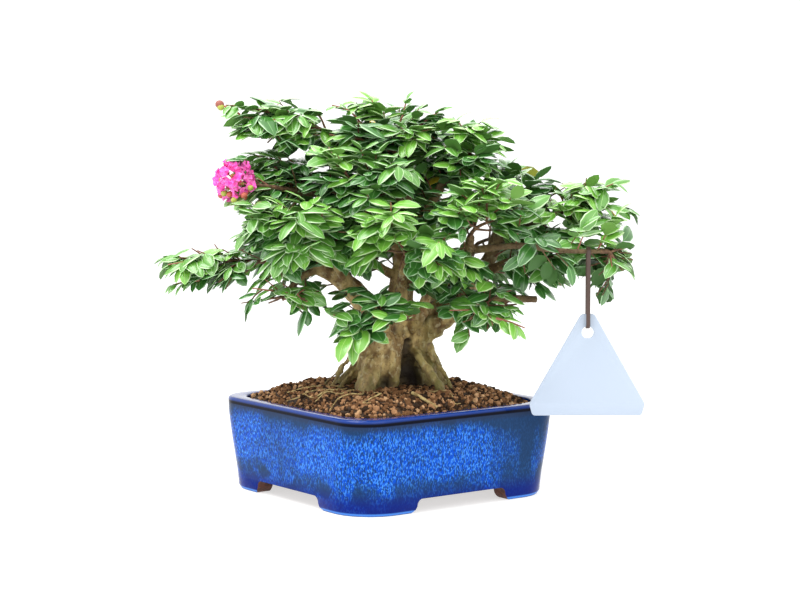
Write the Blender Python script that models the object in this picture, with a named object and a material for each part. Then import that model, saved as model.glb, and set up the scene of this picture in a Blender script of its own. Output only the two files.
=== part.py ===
"""Bonsai crape myrtle in a square glazed pot.

Sizes and places are in millimetres and become metres when a mesh is made. The pot's sides run
along X and Y. The tree has its own axes, turned about Z: right, away (behind the tree's front)
and up, measured from the middle of the pot's underside.
"""

import math
import random
from collections import namedtuple

import bmesh
import bpy
import numpy as np
from mathutils import Matrix, Vector
from mathutils.bvhtree import BVHTree

MM = 0.001
GAP = 0.3
TREE_TURN = math.radians(54)
GOLDEN_ANGLE = math.radians(137.5)

# The pot: a rounded square that narrows a little towards its base, on four corner feet.
POT_HEIGHT = 55.4
POT_HALF = 75.0
POT_CORNER = 20.0
BASE_INSET = 2.5
BASE_CORNER = 26.5
LIP_WIDTH = 8.0
LIP_ROUND = 1.8
WALL_TAPER_INSIDE = 2.0
CAVITY_FLOOR = 15.0
UNDERSIDE = 9.0
FOOT_HEIGHT = 8.0
FOOT_LENGTH = 38.0
FOOT_SWEEP = 10.0
FOOT_THICKNESS = 9.0
DRAIN_RADIUS = 7.0
DRAIN_SIDES = 16
CORNER_STEPS = 5
ARC_STEPS = 8

# The soil: it fills the pot and rises to a low mound under the trunk.
SOIL_EDGE = 53.0
SOIL_TOP = 63.0
MOUND_RADIUS = 46.0
MOUND_STEPS = 4
SOIL_POINTS = 40
SOIL_FLAT = 30.0
SOIL_INNER_RINGS = (38.0, 30.0, 16.0)
LUMP_RISE = 1.1
LUMP_SPACING = 17.0

# The trunk: fused stems and the roots that flare from them, as places along their middles and
# the radii there. Foliage keeps clear of its core.
TRUNK_STEMS = (
    (((-3, -5, 58), (-3, -7, 72), (-2, -5, 88), (0, -2, 102), (3, 0, 114)), (14, 15.5, 16, 15.5, 11)),
    (((20, 2, 58), (18, 3, 72), (14, 3, 88), (16, 3, 100), (19, 4, 112)), (14.5, 13, 12.5, 13, 10)),
    (((6, 8, 58), (6, 8, 80), (7, 8, 96), (8, 8, 110)), (16, 15, 14, 11)),
)
TRUNK_ROOTS = (
    (((-6, -13, 84), (-12, -24, 69), (-15, -30, 58)), (8, 5.5)),
    (((6, -14, 88), (18, -27, 72), (30, -33, 60)), (4, 3)),
    (((20, 0, 82), (30, 3, 66), (35, 4, 58)), (8, 4.5)),
    (((-10, 2, 80), (-26, 4, 66), (-33, 5, 59)), (5, 3)),
    (((-6, 12, 82), (-20, 28, 66), (-26, 34, 58)), (8, 4.5)),
    (((14, 14, 82), (26, 30, 66), (31, 36, 58)), (8, 4.5)),
    (((-14, -3, 88), (-26, -5, 76), (-35, -7, 60)), (1.6, 1.2)),
)
TRUNK_RINGS = 7
ROOT_RINGS = 6
STEM_RESOLUTION = 3
TRUNK_CORE = ((4, 0, 60), (6, 3, 112))
TRUNK_CORE_RADII = (24, 18)
GROUND_SIDE = 100.0

# Limbs: each is laid out finely, and its rings are some of those places.
CURVE_STEPS = 16
FINE_STEPS = 80
LIMB_TAPER = 0.8
COLLAR_RINGS = 3
COLLAR_END = 6
RING_STEPS = 11
FIRST_RING = 8
LAST_RING = 74
TIP_STEPS = 4

# The tag: a triangle with cut corners, hung from a twig by a strap that goes through its hole.
TAG_RIGHT = 115.0
TAG_AWAY = -46.0
TAG_BOTTOM = 51.0
TAG_HEIGHT = 59.0
TAG_BASE_HALF = 31.6
TAG_SHOULDER_HALF = 33.5
TAG_SHOULDER_RISE = 6.8
TAG_TOP_HALF = 3.8
TAG_THICKNESS = 1.0
TAG_HOLE_RADIUS = 3.4
TAG_HOLE_DROP = 10.7
TWIG_UP = 146.0
TAG_TWIG_RADIUS = 1.6
STRAP_WIDTH = 2.2
STRAP_THICKNESS = 0.9
STRAP_INSIDE = 2.5
SWING_BACK = math.radians(-9)
SWING_FRONT = math.radians(64)
SWING_ROOM = 3.0
TAG_ROOM = 2.0
STRAP_ROOM = 1.0

# Foliage: twigs are three-sided, and a leaf is a flat solid of eight faces.
STEM_RADIUS = 2.2
STEM_TIP_RADIUS = 1.3
TWIG_RADIUS = 1.0
TWIG_TIP_RADIUS = 0.8
TWIG_SIDES = 3
TWIG_REACH = 0.68
TWIG_LENGTHS = (4, 60)
FIRST_TWIG = 0.4
TWIG_TURN_SPREAD = 0.3
TWIG_FLATTEN = 0.6
TWIG_LEAN = (0.2, 0.6)
LEAF_TRIES = 8
LEAF_SEAT = 0.2
LEAF_TILT = 0.35
LEAF_SHORTEST = 0.85
LEAF_LEAN = (0.1, 0.9)
LEAF_RISE = (-0.7, 0.5)
LEAF_LENGTH = 26.0
LEAF_WIDTH = 15.0
LEAF_THICKNESS = 1.4
LEAF_WIDEST = 0.4
LEAF_SPACING = 7.0
LEAF_CLEARANCE = 0.8
LEAF_EDGE = 1.08
SPACE_MARGIN = 0.025
STEM_STEPS = 4
STEM_SHORTEST = 8.0
STEM_BEND = 0.4
STEM_SHORT_OF_REACH = 0.9
END_STEP = 1.0
BARE_TWIG = 2.0
TWIG_END_SEAT = 0.5
BUD_RADIUS = 3.3
FLOWER_RADIUS = 6.5
FLOWER_RING = ((7, 0), (5, math.pi / 2), (6, math.pi / 2))
FLOWERS = 5
FLOWER_FLATTEN = 0.8

GLAZE = ((0.02, 0.09, 0.45, 1.0), 0.15)
SOIL_CLAY = ((0.22, 0.10, 0.05, 1.0), 0.95)
BARK = ((0.38, 0.30, 0.18, 1.0), 0.8)
LEAF_GREEN = ((0.03, 0.16, 0.05, 1.0), 0.35)
BLOSSOM_PINK = ((0.75, 0.04, 0.35, 1.0), 0.5)
FROSTED = ((0.75, 0.82, 0.88, 1.0), 0.3)
STRAP_BROWN = ((0.10, 0.045, 0.03, 1.0), 0.5)

# A limb runs through a few points from inside its parent to its tip, tapering all the way.
# Its first stretch, the collar, is part of the parent, so limb and parent meet end to end.
Limb = namedtuple("Limb", "name parent points thick thin collar")
LIMBS = (
    Limb("bough_leader", "trunk", ((4, 2, 96), (9, -1, 128), (13, 1, 158), (5, 3, 192)), 10, 4, 20),
    Limb("bough_left", "trunk", ((-4, -2, 98), (-22, -8, 122), (-44, -14, 136), (-68, -18, 138)), 9, 3, 17),
    Limb("bough_right", "trunk", ((18, 4, 97), (42, 8, 116), (60, 10, 136), (70, 12, 164)), 9, 3.4, 26),
    Limb("bough_right_low", "trunk", ((20, -2, 92), (42, -14, 109), (55, -32, 115)), 6.5, 3, 20),
    Limb("bough_front", "trunk", ((6, -8, 98), (8, -24, 122), (10, -38, 140)), 6, 2.6, 20),
    Limb("bough_front_low", "trunk", ((0, -8, 92), (-2, -22, 100), (-4, -36, 105)), 4, 2.4, 21),
    Limb("bough_back", "trunk", ((8, 12, 96), (8, 26, 122), (4, 38, 150)), 7, 3, 19),
    Limb("bough_back_left", "trunk", ((-2, 10, 96), (-22, 24, 120), (-38, 34, 146)), 7, 3, 22),
    Limb("bough_back_right", "trunk", ((18, 10, 96), (36, 24, 118), (52, 36, 142)), 7, 3, 22),
    Limb("bough_left_mid", "bough_leader", ((12, 0, 142), (-8, 3, 158), (-38, 6, 180)), 4.5, 2.4, 13),
    Limb("bough_right_top", "bough_leader", ((12, 1, 150), (26, 0, 172), (36, -1, 190)), 4.2, 2.2, 17),
    Limb("bough_left_top", "bough_leader", ((8, 2, 176), (-6, 4, 192), (-26, 5, 208)), 3.6, 2.0, 13),
    Limb("bough_front_top", "bough_leader", ((11, 0, 134), (2, -18, 152), (-10, -28, 172)), 4.2, 2.2, 14),
    Limb("bough_back_top", "bough_leader", ((10, 3, 166), (10, 18, 178), (10, 32, 190)), 3.8, 2.0, 11),
    Limb("bough_left_front", "bough_left", ((-22, -8, 122), (-32, -24, 140), (-42, -36, 154)), 4.2, 2.2, 15),
    Limb("bough_blossom", "bough_left_mid", ((-30, 6, 174), (-46, -6, 178), (-61, -13, 181)), 2.4, 1.7, 11),
    Limb("bough_right_far", "bough_right", ((65, 11, 148), (80, 4, 158), (98, -4, 165)), 3.6, 2.2, 12),
    Limb("bough_right_mid", "bough_right", ((50, 9, 124), (66, 2, 134), (80, -6, 140)), 3.8, 2.2, 18),
    Limb("bough_front_right", "bough_right", ((46, 8, 119), (46, -12, 134), (48, -34, 154)), 4.6, 2.4, 13),
    Limb("bough_tag", "bough_front_right", ((47, -24, 145), (74, -42, 149), (98, -46, 146.4),
                                            (111, -46, TWIG_UP), (124, -46, TWIG_UP)), 2.6, 1.5, 11),
    Limb("bough_left_hang", "bough_left", ((-40, -12, 134), (-50, -24, 130), (-58, -32, 122)), 3.2, 1.9, 11),
    Limb("bough_inner_left", "bough_leader", ((9, -1, 126), (-4, -10, 134), (-15, -16, 142)), 3.8, 2.0, 15),
    Limb("bough_inner_right", "trunk", ((14, -6, 97), (22, -18, 115), (26, -26, 132)), 4.8, 2.2, 20),
    Limb("bough_cut_stub", "bough_right_low", ((40, -12, 108), (62, -10, 115), (88, -17, 116)), 3, 2.2, 12),
)

# A mass keeps to an egg-shaped space, and its stem grows from a limb's tip to its reach.
Mass = namedtuple("Mass", "name limb centre half reach twigs leaves", defaults=(20,))
MASSES = (
    Mass("leaves_left_low", "bough_left", (-100, -21, 133), (46, 26, 17), (-140, -20, 142), 9),
    Mass("leaves_left_front", "bough_left_front", (-58, -46, 156), (36, 34, 26), (-80, -58, 158), 8),
    Mass("leaves_left_mid", "bough_left_mid", (-66, 12, 187), (36, 32, 19), (-90, 8, 196), 8),
    Mass("leaves_left_top", "bough_left_top", (-62, 4, 216), (48, 26, 19), (-98, 0, 230), 9),
    Mass("blossom_left", "bough_blossom", (-86, -22, 183), (26, 22, 18), (-109, -26, 187), 4, 6),
    Mass("leaves_top", "bough_leader", (-4, 0, 214), (38, 34, 24), (9, 0, 237), 9),
    Mass("leaves_right_top", "bough_right_top", (50, -4, 204), (34, 32, 20), (70, -4, 212), 8),
    Mass("leaves_right_upper", "bough_right", (84, 12, 182), (28, 32, 22), (92, 14, 192), 7),
    Mass("leaves_right_far", "bough_right_far", (122, -4, 172), (30, 30, 19), (138, -6, 178), 8),
    Mass("leaves_right_mid", "bough_right_mid", (98, -4, 140), (30, 26, 20), (116, -8, 136), 7),
    Mass("leaves_tag_twig", "bough_tag", (127, -39, 141), (22, 28, 26), (145, -36, 130), 7, 12),
    Mass("leaves_front_right", "bough_front_right", (56, -54, 168), (32, 30, 22), (70, -64, 174), 8),
    Mass("leaves_right_low", "bough_right_low", (57, -38, 112), (28, 25, 18), (72, -48, 106), 7),
    Mass("leaves_front", "bough_front", (8, -66, 152), (36, 34, 25), (8, -84, 152), 9),
    Mass("leaves_front_top", "bough_front_top", (-18, -42, 188), (36, 30, 22), (-26, -56, 194), 8),
    Mass("leaves_front_low", "bough_front_low", (-4, -44, 108), (34, 22, 19), (-8, -58, 106), 7),
    Mass("leaves_left_hang", "bough_left_hang", (-58, -40, 117), (28, 24, 15), (-66, -52, 108), 6, 12),
    Mass("leaves_inner_left", "bough_inner_left", (-26, -22, 151), (31, 27, 29), (-36, -28, 160), 7, 12),
    Mass("leaves_inner_right", "bough_inner_right", (32, -30, 146), (29, 27, 31), (40, -36, 164), 7, 12),
    Mass("leaves_back", "bough_back", (2, 64, 162), (36, 34, 25), (0, 84, 166), 9),
    Mass("leaves_back_left", "bough_back_left", (-66, 52, 154), (40, 36, 26), (-88, 60, 156), 9),
    Mass("leaves_back_right", "bough_back_right", (74, 52, 150), (38, 34, 26), (94, 60, 152), 9),
    Mass("leaves_back_top", "bough_back_top", (22, 48, 198), (36, 32, 21), (34, 62, 204), 8),
)


def tree_point(right, away, up):
    """World place, in millimetres, of a point given along the tree's own axes."""
    return Vector((right * math.cos(TREE_TURN) - away * math.sin(TREE_TURN),
                   right * math.sin(TREE_TURN) + away * math.cos(TREE_TURN), up))


def material(name, look):
    """Material with the colour and roughness of a look."""
    colour, roughness = look
    made = bpy.data.materials.new(name)
    made.use_nodes = True
    shader = made.node_tree.nodes["Principled BSDF"]
    shader.inputs["Base Color"].default_value = colour
    shader.inputs["Roughness"].default_value = roughness
    return made


def collection(name):
    """New collection, linked to the scene."""
    made = bpy.data.collections.new(name)
    bpy.context.scene.collection.children.link(made)
    return made


def add_object(name, data, group):
    """New object with the given data, linked to a collection."""
    made = bpy.data.objects.new(name, data)
    group.objects.link(made)
    return made


def mesh_object(name, bm, group):
    """Object from a bmesh whose places are in millimetres."""
    bmesh.ops.recalc_face_normals(bm, faces=bm.faces)
    data = bpy.data.meshes.new(name)
    bm.to_mesh(data)
    bm.free()
    data.transform(Matrix.Scale(MM, 4))
    return add_object(name, data, group)


def curve_object(name, data, group):
    """Mesh object from a curve, with its loose caps welded on."""
    data.transform(Matrix.Scale(MM, 4))
    guide = add_object(name + "_curve", data, group)
    bpy.context.view_layer.update()
    shape = bpy.data.meshes.new_from_object(guide.evaluated_get(bpy.context.evaluated_depsgraph_get()))
    bm = bmesh.new()
    bm.from_mesh(shape)
    bmesh.ops.remove_doubles(bm, verts=bm.verts, dist=0.00001)
    bmesh.ops.recalc_face_normals(bm, faces=bm.faces)
    bm.to_mesh(shape)
    bm.free()
    bpy.data.objects.remove(guide)
    bpy.data.curves.remove(data)
    return add_object(name, shape, group)


def boolean(made, other, operation, solver="EXACT"):
    """Join or cut an object by another object, or by all of a collection's objects."""
    step = made.modifiers.new(operation.lower(), "BOOLEAN")
    step.operation = operation
    step.solver = solver
    if isinstance(other, bpy.types.Collection):
        step.operand_type = "COLLECTION"
        step.collection = other
    else:
        step.object = other
    return step


def apply_modifiers(made):
    """Give an object the mesh that its modifiers make, and drop them."""
    bpy.context.view_layer.update()
    shape = bpy.data.meshes.new_from_object(made.evaluated_get(bpy.context.evaluated_depsgraph_get()))
    made.modifiers.clear()
    made.data = shape


def hide_guides(group):
    """Keep the cutters out of renders, and draw them as wires."""
    for guide in group.objects:
        guide.hide_render = True
        guide.display_type = "WIRE"


def keep_largest_body(made):
    """Drop loose scraps and the walls of sealed hollows, leaving the one outer body."""
    bm = bmesh.new()
    bm.from_mesh(made.data)
    unseen = set(bm.faces)
    bodies = []
    while unseen:
        body = set()
        front = [unseen.pop()]
        while front:
            face = front.pop()
            body.add(face)
            for edge in face.edges:
                for other in edge.link_faces:
                    if other in unseen:
                        unseen.remove(other)
                        front.append(other)
        bodies.append(body)
    largest = max(bodies, key=len)
    bmesh.ops.delete(bm, geom=[face for face in bm.faces if face not in largest], context="FACES")
    bm.to_mesh(made.data)
    bm.free()


def loft(rings, name, group):
    """Closed body through rings of equal point counts, capped at both ends."""
    bm = bmesh.new()
    rows = [[bm.verts.new(point) for point in ring] for ring in rings]
    for lower, upper in zip(rows, rows[1:]):
        for i in range(len(lower)):
            j = (i + 1) % len(lower)
            bm.faces.new((lower[i], lower[j], upper[j], upper[i]))
    bm.faces.new(reversed(rows[0]))
    bm.faces.new(rows[-1])
    return mesh_object(name, bm, group)


def rounded_square(half, corner, up):
    """Points round a square with rounded corners, at one height."""
    points = []
    for quarter in range(4):
        start = math.pi / 2 * quarter
        middle = Vector((half - corner, half - corner, 0))
        middle.rotate(Matrix.Rotation(start, 3, "Z"))
        for step in range(CORNER_STEPS + 1):
            angle = start + math.pi / 2 * step / CORNER_STEPS
            points.append(middle + Vector((corner * math.cos(angle), corner * math.sin(angle), up)))
    return points


def square_edge(half, corner, angle):
    """Distance from the middle of a rounded square to its edge, in one direction."""
    cos, sin = abs(math.cos(angle)), abs(math.sin(angle))
    flat = half / max(cos, sin)
    if min(cos, sin) * flat <= half - corner:
        return flat
    along = (half - corner) * (cos + sin)
    return along + math.sqrt(max(along * along - 2 * (half - corner) ** 2 + corner ** 2, 0))


def soil_lumps(x, y):
    """Rise of the soil's broad lumps: both ways on the slope, hollows only between the roots."""
    turn = math.tau / (LUMP_SPACING * math.sqrt(2))
    wave = math.sin(x * turn + 0.6) * math.sin(y * turn + 1.1)
    distance = math.hypot(x, y)
    if distance > MOUND_RADIUS + 1:
        return LUMP_RISE * wave
    share = min(max((distance - SOIL_FLAT) / (MOUND_RADIUS - SOIL_FLAT), 0), 1)
    return LUMP_RISE * share * min(wave, 0)


def outline_curve(name, outlines, thickness):
    """Flat plate in the XY plane from closed outlines, the later ones being its holes."""
    data = bpy.data.curves.new(name, "CURVE")
    data.dimensions = "2D"
    data.fill_mode = "BOTH"
    data.extrude = thickness / 2
    for outline in outlines:
        spline = data.splines.new("POLY")
        spline.points.add(len(outline) - 1)
        for point, (x, y) in zip(spline.points, outline):
            point.co = (x, y, 0, 1)
        spline.use_cyclic_u = True
    return data


def arc(centre, radius, start, end, steps):
    """Points along an arc, from its start to its end."""
    angles = [start + (end - start) * i / steps for i in range(steps + 1)]
    return [(centre[0] + radius * math.cos(a), centre[1] + radius * math.sin(a)) for a in angles]


def arch_outline():
    """Gap between two feet: flat under the wall, sweeping down to each foot in an S."""
    foot_end = POT_HALF - FOOT_LENGTH
    points = []
    for step in range(ARC_STEPS + 1):
        share = step / ARC_STEPS
        rise = FOOT_HEIGHT * (1 - math.cos(math.pi * share)) / 2
        points.append((foot_end - FOOT_SWEEP * share, rise))
    mirrored = [(-x, y) for x, y in reversed(points)]
    return [(foot_end, -1)] + points + mirrored + [(-foot_end, -1)]


def build_pot(group, cutters):
    """Hollow pot with a rounded lip, four corner feet, arches between them and a drain hole."""
    inside = POT_HALF - LIP_WIDTH
    base = POT_HALF - BASE_INSET
    # Up the outside, over the lip and down the inside: half width, corner and height of each ring.
    rings = (
        rounded_square(base - 1.6, BASE_CORNER - 1.6, 0),
        rounded_square(base - 0.2, BASE_CORNER, 2),
        rounded_square(base + 0.5, BASE_CORNER - 1, 14),
        rounded_square(base + 1.5, POT_CORNER + 2.5, 30),
        rounded_square(POT_HALF - 0.1, POT_CORNER + 0.5, 46),
        rounded_square(POT_HALF, POT_CORNER, POT_HEIGHT - LIP_ROUND),
        rounded_square(POT_HALF - 0.3 * LIP_ROUND, POT_CORNER, POT_HEIGHT - 0.3 * LIP_ROUND),
        rounded_square(POT_HALF - LIP_ROUND, POT_CORNER, POT_HEIGHT),
        rounded_square(inside + 0.7, POT_CORNER, POT_HEIGHT),
        rounded_square(inside, POT_CORNER, POT_HEIGHT - 1),
        rounded_square(inside - WALL_TAPER_INSIDE, POT_CORNER, CAVITY_FLOOR),
    )
    pot = loft(rings, "pot", group)
    recess = base - FOOT_THICKNESS
    rings = [rounded_square(recess, BASE_CORNER - FOOT_THICKNESS, up) for up in (-1, UNDERSIDE)]
    boolean(pot, loft(rings, "underside_recess", cutters), "DIFFERENCE")
    for name, turn in (("arch_x", 0), ("arch_y", math.pi / 2)):
        cutter = curve_object(name, outline_curve(name, [arch_outline()], 3 * POT_HALF), cutters)
        stand_up = Matrix.Rotation(turn, 4, "Z") @ Matrix.Rotation(math.pi / 2, 4, "X")
        cutter.data.transform(stand_up)
        boolean(pot, cutter, "DIFFERENCE")
    bm = bmesh.new()
    bmesh.ops.create_cone(bm, cap_ends=True, segments=DRAIN_SIDES, radius1=DRAIN_RADIUS,
                          radius2=DRAIN_RADIUS, depth=CAVITY_FLOOR,
                          matrix=Matrix.Translation((0, 0, CAVITY_FLOOR)))
    boolean(pot, mesh_object("drain_hole", bm, cutters), "DIFFERENCE")
    return pot


def build_soil(group):
    """Soil that fills the pot, with a lumpy slope up to the plateau that the roots stand on."""
    inside = POT_HALF - LIP_WIDTH - GAP
    angles = [math.tau * (i + 0.5) / SOIL_POINTS for i in range(SOIL_POINTS)]

    def ring(half, share, radius, up, lumpy):
        points = []
        for angle in angles:
            reach = square_edge(half, POT_CORNER, angle) * (1 - share) + radius * share
            x, y = reach * math.cos(angle), reach * math.sin(angle)
            points.append(Vector((x, y, up + (soil_lumps(x, y) if lumpy else 0))))
        return points

    rings = [ring(inside - WALL_TAPER_INSIDE, 0, 0, CAVITY_FLOOR + GAP, False),
             ring(inside - 0.1, 0, 0, SOIL_EDGE, False)]
    for step in range(1, MOUND_STEPS + 1):
        share = step / MOUND_STEPS
        up = SOIL_EDGE + (SOIL_TOP - SOIL_EDGE) * math.sin(math.pi / 2 * share)
        rings.append(ring(inside, share, MOUND_RADIUS, up, True))
    rings += [ring(inside, 1, radius, SOIL_TOP, True) for radius in SOIL_INNER_RINGS]
    return loft(rings, "soil", group)


def smooth_path(points, count):
    """Evenly spread places on a smooth curve through the given tree points."""
    stops = [tree_point(*point) for point in points]
    stops = [2 * stops[0] - stops[1]] + stops + [2 * stops[-1] - stops[-2]]
    dense = []
    for a, b, c, d in zip(stops, stops[1:], stops[2:], stops[3:]):
        for step in range(CURVE_STEPS):
            t = step / CURVE_STEPS
            dense.append(0.5 * (2 * b + (c - a) * t + (2 * a - 5 * b + 4 * c - d) * t * t
                                + (3 * b - a - 3 * c + d) * t ** 3))
    dense.append(stops[-2])
    lengths = [0.0]
    for a, b in zip(dense, dense[1:]):
        lengths.append(lengths[-1] + (b - a).length)
    path = []
    for i in range(count):
        wanted = lengths[-1] * i / (count - 1)
        k = min(max(np.searchsorted(lengths, wanted), 1), len(dense) - 1)
        share = (wanted - lengths[k - 1]) / (lengths[k] - lengths[k - 1])
        path.append(dense[k - 1].lerp(dense[k], share))
    return path


def tapered_tube(name, path, radii, group, resolution=1):
    """Closed tube along a path, with a radius of its own at each place."""
    data = bpy.data.curves.new(name, "CURVE")
    data.dimensions = "3D"
    data.bevel_depth = 1.0
    data.bevel_resolution = resolution
    data.use_fill_caps = True
    spline = data.splines.new("POLY")
    spline.points.add(len(path) - 1)
    for point, place, radius in zip(spline.points, path, radii):
        point.co = (*place, 1)
        point.radius = radius
    return curve_object(name, data, group)


class LimbShape:
    """A limb's path and radii, split into the collar on its parent and the limb's own node."""

    def __init__(self, limb):
        """Lay out one limb."""
        self.limb = limb
        length = sum((Vector(b) - Vector(a)).length for a, b in zip(limb.points, limb.points[1:]))
        fine = smooth_path(limb.points, FINE_STEPS + 1)
        step = length / FINE_STEPS
        split = max(1, round(limb.collar / step))
        skip = max(1, math.ceil(GAP / step))
        taper = [(i / FINE_STEPS) ** LIMB_TAPER for i in range(FINE_STEPS + 1)]
        radius_at = [limb.thick + (limb.thin - limb.thick) * share for share in taper]
        heading = (fine[split + 1] - fine[split]).normalized()
        joint = fine[split]
        ring = max(1, split // COLLAR_RINGS)
        collar = range(0, split - COLLAR_END, ring)
        self.collar_path = [fine[i] for i in collar] + [joint - heading * END_STEP, joint]
        self.collar_radii = [radius_at[i] for i in collar] + [radius_at[split]] * 2
        own = range(split + skip + FIRST_RING, LAST_RING, RING_STEPS)
        start = joint + heading * GAP
        self.tip = fine[-1]
        self.heading = (self.tip - fine[-1 - TIP_STEPS]).normalized()
        self.path = ([start, start + heading * END_STEP] + [fine[i] for i in own]
                     + [self.tip - self.heading * END_STEP, self.tip])
        self.radii = [radius_at[split]] * 2 + [radius_at[i] for i in own] + [limb.thin] * 2


def build_trunk(group, pieces):
    """Two fused trunks with a cleft between them, roots that flare to the ground, and collars."""
    for number, (points, radii) in enumerate(TRUNK_STEMS):
        path = smooth_path(points, TRUNK_RINGS)
        spread = np.interp(np.linspace(0, 1, TRUNK_RINGS), np.linspace(0, 1, len(radii)), radii)
        tapered_tube(f"trunk_stem_{number}", path, spread, pieces, STEM_RESOLUTION)
    for number, (points, (thick, thin)) in enumerate(TRUNK_ROOTS):
        path = smooth_path(points, ROOT_RINGS)
        tapered_tube(f"trunk_root_{number}", path, np.linspace(thick, thin, ROOT_RINGS), pieces)
    trunk = join_pieces("trunk", group, pieces, "MANIFOLD")
    ground = mesh_box("ground_cut", (0, 0, SOIL_TOP + GAP - GROUND_SIDE / 2), GROUND_SIDE, pieces)
    boolean(trunk, ground, "DIFFERENCE", "MANIFOLD")
    apply_modifiers(trunk)
    bpy.data.objects.remove(ground)
    return trunk


def mesh_box(name, middle, side, group):
    """Cube round a middle."""
    bm = bmesh.new()
    bmesh.ops.create_cube(bm, size=side, matrix=Matrix.Translation(middle))
    return mesh_object(name, bm, group)


def join_pieces(name, group, pieces, solver="EXACT"):
    """Union of a collection's objects as one closed body; the collection is left empty."""
    first = pieces.objects[0]
    made = add_object(name, first.data.copy(), group)
    bpy.data.objects.remove(first)
    if pieces.objects:
        boolean(made, pieces, "UNION", solver)
        apply_modifiers(made)
    for piece in list(pieces.objects):
        bpy.data.objects.remove(piece)
    keep_largest_body(made)
    return made


class Space:
    """Egg-shaped room of a mass, along the tree's own axes."""

    def __init__(self, mass):
        """Take the room from a mass."""
        self.centre = np.array(mass.centre, dtype=float)
        self.half = np.array(mass.half, dtype=float)

    def depth(self, point):
        """0 at the middle of the space and 1 at its edge."""
        unturned = Matrix.Rotation(-TREE_TURN, 3, "Z") @ point
        return float(np.linalg.norm((np.array(unturned) - self.centre) / self.half))


class Surroundings:
    """What the foliage keeps clear of: trunk, limbs, neighbouring spaces and the tag's swing."""

    def __init__(self, shapes, spaces):
        """Gather the straight runs of the wood with their radii."""
        self.spaces = spaces
        starts, ends, radii = [], [], []
        runs = [([tree_point(*point) for point in TRUNK_CORE], TRUNK_CORE_RADII)]
        for shape in shapes.values():
            runs.append((shape.collar_path, shape.collar_radii))
            runs.append((shape.path, shape.radii))
        for path, spread in runs:
            for a, b, r in zip(path, path[1:], spread):
                starts.append(a)
                ends.append(b)
                radii.append(r)
        self.starts = np.array(starts)
        self.runs = np.array(ends) - self.starts
        self.radii = np.array(radii)

    def limb_distance(self, point):
        """Distance from a point to the nearest bark."""
        away = np.array(point) - self.starts
        share = np.clip((away * self.runs).sum(axis=1) / (self.runs ** 2).sum(axis=1), 0, 1)
        return float((np.linalg.norm(away - share[:, None] * self.runs, axis=1) - self.radii).min())

    def in_tag_swing(self, point):
        """Whether a point is where the tag or its strap passes."""
        local = Matrix.Rotation(-TREE_TURN, 3, "Z") @ point
        across = abs(local.x - TAG_RIGHT)
        forward = TAG_AWAY - local.y
        down = TWIG_UP - local.z
        distance = math.hypot(forward, down)
        swing = math.atan2(forward, down)
        strap_reach = STRAP_INSIDE + STRAP_THICKNESS + TAG_TWIG_RADIUS + TAG_ROOM
        if across < STRAP_WIDTH + STRAP_ROOM and distance < strap_reach:
            return True
        if not SWING_BACK < swing < SWING_FRONT:
            return False
        tag_top = TWIG_UP - TAG_BOTTOM - TAG_HEIGHT
        beside_tag = distance > tag_top - SWING_ROOM and across < TAG_SHOULDER_HALF + TAG_ROOM
        beside_strap = across < STRAP_WIDTH + SWING_ROOM
        return distance < TWIG_UP - TAG_BOTTOM + SWING_ROOM and (beside_tag or beside_strap)

    def free(self, own, point, clearance, edge=1.0):
        """Whether a point is in its own space, clear of all else."""
        depth = own.depth(point)
        if depth > edge or self.in_tag_swing(point):
            return False
        if any(other is not own and other.depth(point) < depth + SPACE_MARGIN
               for other in self.spaces.values()):
            return False
        return self.limb_distance(point) > clearance


def frame_along(direction, upward):
    """Turn that lays X along a direction, with Z as near to upward as it can be."""
    x_axis = direction.normalized()
    y_axis = upward.cross(x_axis).normalized()
    return Matrix((x_axis, y_axis, x_axis.cross(y_axis))).transposed().to_4x4()


def three_sided(path, radii):
    """Rings of a three-sided stem along a path."""
    rings = []
    for place, ahead, radius in zip(path, path[1:] + [2 * path[-1] - path[-2]], radii):
        turn = frame_along(ahead - place, Vector((0, 0, 1)))
        rings.append([place + turn @ Vector((0, radius * math.cos(math.tau * k / TWIG_SIDES),
                                             radius * math.sin(math.tau * k / TWIG_SIDES)))
                      for k in range(TWIG_SIDES)])
    return rings


class Leaf:
    """A flat leaf of eight faces, from its root on a twig to its tip."""

    faces = [(0, 1, 2), (0, 2, 3), (0, 3, 4), (0, 4, 1), (5, 2, 1), (5, 3, 2), (5, 4, 3), (5, 1, 4)]

    def __init__(self, root, direction, rng):
        """Place the leaf and note the points that tell whether it fits."""
        upward = Vector((rng.uniform(-LEAF_TILT, LEAF_TILT), rng.uniform(-LEAF_TILT, LEAF_TILT), 1))
        place = Matrix.Translation(root) @ frame_along(direction, upward)
        length = LEAF_LENGTH * rng.uniform(LEAF_SHORTEST, 1.0)
        widest = length * LEAF_WIDEST
        across = LEAF_WIDTH / 2
        thick = LEAF_THICKNESS / 2
        marks = ((0, 0, 0), (widest, across, 0), (widest, 0, thick), (widest, -across, 0),
                 (widest, 0, -thick), (length, 0, 0))
        self.points = [place @ Vector(mark) for mark in marks]
        root, left, _, right, _, tip = self.points
        middle = root.lerp(tip, LEAF_WIDEST)
        self.marks = [left, right, tip, middle, middle.lerp(tip, 0.5)]
        self.marks += [side.lerp(end, 0.5) for side in (left, right) for end in (root, tip, middle)]
        self.shape = BVHTree.FromPolygons(self.points, self.faces)

    def fits(self, own, surroundings, others):
        """Whether the leaf is clear of the surroundings and of the other leaves."""
        if not all(surroundings.free(own, mark, LEAF_CLEARANCE, LEAF_EDGE) for mark in self.marks):
            return False
        return not any(self.shape.overlap(other) for other in others)

    def add(self, pieces):
        """Make the leaf as an object among the pieces."""
        bm = bmesh.new()
        verts = [bm.verts.new(point) for point in self.points]
        for face in self.faces:
            bm.faces.new([verts[k] for k in face])
        mesh_object("leaf", bm, pieces)


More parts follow.
